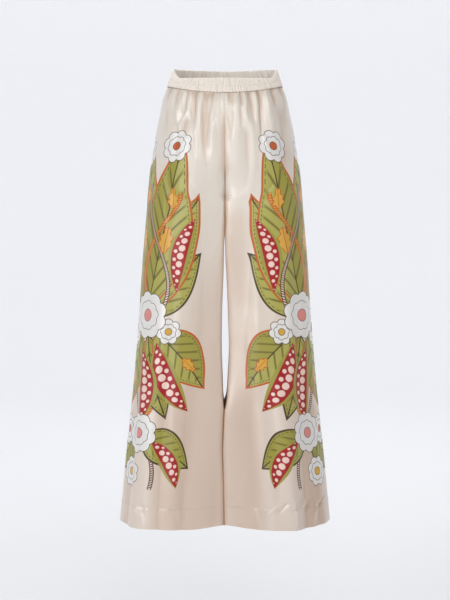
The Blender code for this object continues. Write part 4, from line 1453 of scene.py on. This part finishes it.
# Dark rust seam thread; its wide dark stitches also stand for the painted shade of the small gathers under
# the band.
SEAM_THREAD_AND_SHADE = thread_finish("seam_thread_and_shade", "#7E5242")
print("nodes in the printed silk:", len(PRINTED.node_tree.nodes))

# %% Dress the pieces
for piece in PANELS.values():
    piece.data.materials.append(PRINTED)
WAISTBAND.data.materials.append(BAND_FINISH)


def hem_line(name):
    """Points along the hem's stitch line on one panel."""
    row = int(np.searchsorted(DROPS, HEM_DROP - HEM_DEPTH))
    return FACES[name][row]


leg_lines = []
for side_name in ("left", "right"):
    front = hem_line(f"front_panel_{side_name}")
    back = hem_line(f"back_panel_{side_name}")
    leg_lines.append((np.concatenate([front, back[::-1]]), True))
Sewn = namedtuple("Sewn", "name lines thread pitch length width seed")
ROWS_OF_STITCHES = [
    Sewn("hem_stitches", leg_lines, THREAD, 0.0030, 0.0019, 0.0005, 3),
    Sewn("band_stitches", [(band_outer[BAND_ROWS // 2], True)], THREAD, 0.0030, 0.0020, 0.0005, 4),
    # Wide dark stitches: a real seam thread, and painted shade of the gathers under the band.
    Sewn("waist_seam_stitches_and_shade", [(seam_line, True)], SEAM_THREAD_AND_SHADE, 0.0066, 0.0029, 0.0020, 5),
]
STITCHES = []
for row in ROWS_OF_STITCHES:
    sizes = {"Pitch": row.pitch, "Stitch Length": row.length, "Thread Width": row.width, "Seed": row.seed}
    STITCHES.append(sew(row.name, row.lines, sewing_tree(row.thread), sizes))
    print(row.name, len(STITCHES[-1].data.polygons), "faces")

# %% [markdown]
# ## Tie the pieces to the frame
#
# All cloth is in one body, called root. Each skin stands for the solid it was built on.

# %% Ride and replace
for name, piece in PANELS.items():
    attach(piece, "root")
    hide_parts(name)
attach(WAISTBAND, "root")
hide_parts("waistband")
for stitches in STITCHES:
    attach(stitches, "root")

# %% [markdown]
# ## Floor, light and camera
#
# The garment hangs in a round bay of pale paper: a floor that curves up into a wall on all sides, wide
# enough that a camera can look from anywhere inside it. One tall soft light stands in front on the left,
# small ones light the waist, the front and the right side, and a wide one lights the paper behind.

# %% Paper bay
BAY_FLOOR = -1.45
BAY_RADIUS = 5.6
BAY_BEND = 1.6
BAY_TOP = 2.6
BAY_STEPS = 72
BEND_STEPS = 13


def paper_bay():
    """A round floor that curves up into a wall."""
    profile = [(0.0, BAY_FLOOR)]
    for angle in np.radians(np.linspace(0.0, 90.0, BEND_STEPS)):
        profile.append((BAY_RADIUS - BAY_BEND + BAY_BEND * math.sin(angle),
                        BAY_FLOOR + BAY_BEND - BAY_BEND * math.cos(angle)))
    profile.append((BAY_RADIUS, BAY_TOP))
    turns = np.linspace(0.0, 2 * math.pi, BAY_STEPS, endpoint=False)
    points = [(radius * math.cos(turn), radius * math.sin(turn), z)
              for radius, z in profile for turn in turns]
    faces = [[int(corner) for corner in quad] for quad in grid_quads(len(profile), BAY_STEPS, True)]
    mesh = bpy.data.meshes.new("paper_bay")
    mesh.from_pydata(points, [], faces)
    mesh.shade_smooth()
    bay = bpy.data.objects.new("paper_bay", mesh)
    bpy.context.scene.collection.objects.link(bay)
    material, start, shader = new_finish("pale_paper")
    set_shader(shader, {"Base Color": colour("#EEEFF2"), "Roughness": 0.9})
    mesh.materials.append(material)
    return bay


paper_bay()


# %% Lights
Softbox = namedtuple("Softbox", "name place aim size power tint")
SOFTBOXES = [
    Softbox("key_light", (-3.0, -3.6, 0.0), (0.0, 0.0, -0.6), (1.0, 2.2), 66.0, (0.98, 0.99, 1.0)),
    Softbox("near_light", (0.3, -1.95, 0.62), (0.0, 0.0, -0.05), (1.1, 0.7), 11.8, (1.0, 0.99, 0.98)),
    Softbox("waist_light", (0.0, -0.50, 0.80), (0.0, 0.06, 0.0), (0.7, 0.3), 1.0, (1.0, 0.99, 0.97)),
    Softbox("front_light", (0.6, -4.6, 0.6), (0.0, 0.0, -0.4), (1.8, 1.2), 8.0, (1.0, 0.99, 0.98)),
    Softbox("warm_fill", (3.2, -2.4, -0.35), (0.0, 0.0, -0.7), (1.2, 1.5), 9.0, (1.0, 0.88, 0.78)),
    Softbox("backdrop_light", (0.0, 2.0, 3.2), (0.0, 3.0, -1.3), (6.0, 1.8), 180.0, (0.99, 0.995, 1.0)),
]


def hang_softbox(box):
    """A soft light that points at a place, and that the camera doesn't see."""
    light = bpy.data.lights.new(box.name, "AREA")
    light.shape = "RECTANGLE"
    light.size, light.size_y = box.size
    light.energy = box.power
    light.color = box.tint
    lamp = bpy.data.objects.new(box.name, light)
    lamp.location = box.place
    lamp.visible_camera = False
    lamp.rotation_euler = (Vector(box.aim) - Vector(box.place)).to_track_quat("-Z", "Y").to_euler()
    bpy.context.scene.collection.objects.link(lamp)


for box in SOFTBOXES:
    hang_softbox(box)
world = bpy.data.worlds.new("pale_room")
world.use_nodes = True
set_shader(world.node_tree.nodes["Background"], {"Color": (1.0, 0.98, 0.96, 1.0), "Strength": 0.12})
bpy.context.scene.world = world
bpy.context.scene.view_settings.view_transform = "Standard"

# %% Camera
CAMERA_AIM = Vector((0.0, 0.0, -0.517))
CAMERA_DISTANCE = 3.8
CAMERA_ELEVATION = math.radians(6.6)
CAMERA_LENS = 97.02
camera_data = bpy.data.cameras.new("camera")
camera_data.lens = CAMERA_LENS
camera = bpy.data.objects.new("camera", camera_data)
back_off = Vector((0.0, -math.cos(CAMERA_ELEVATION), math.sin(CAMERA_ELEVATION)))
camera.location = CAMERA_AIM + back_off * CAMERA_DISTANCE
camera.rotation_euler = (-back_off).to_track_quat("-Z", "Y").to_euler()
bpy.context.scene.collection.objects.link(camera)
bpy.context.scene.camera = camera
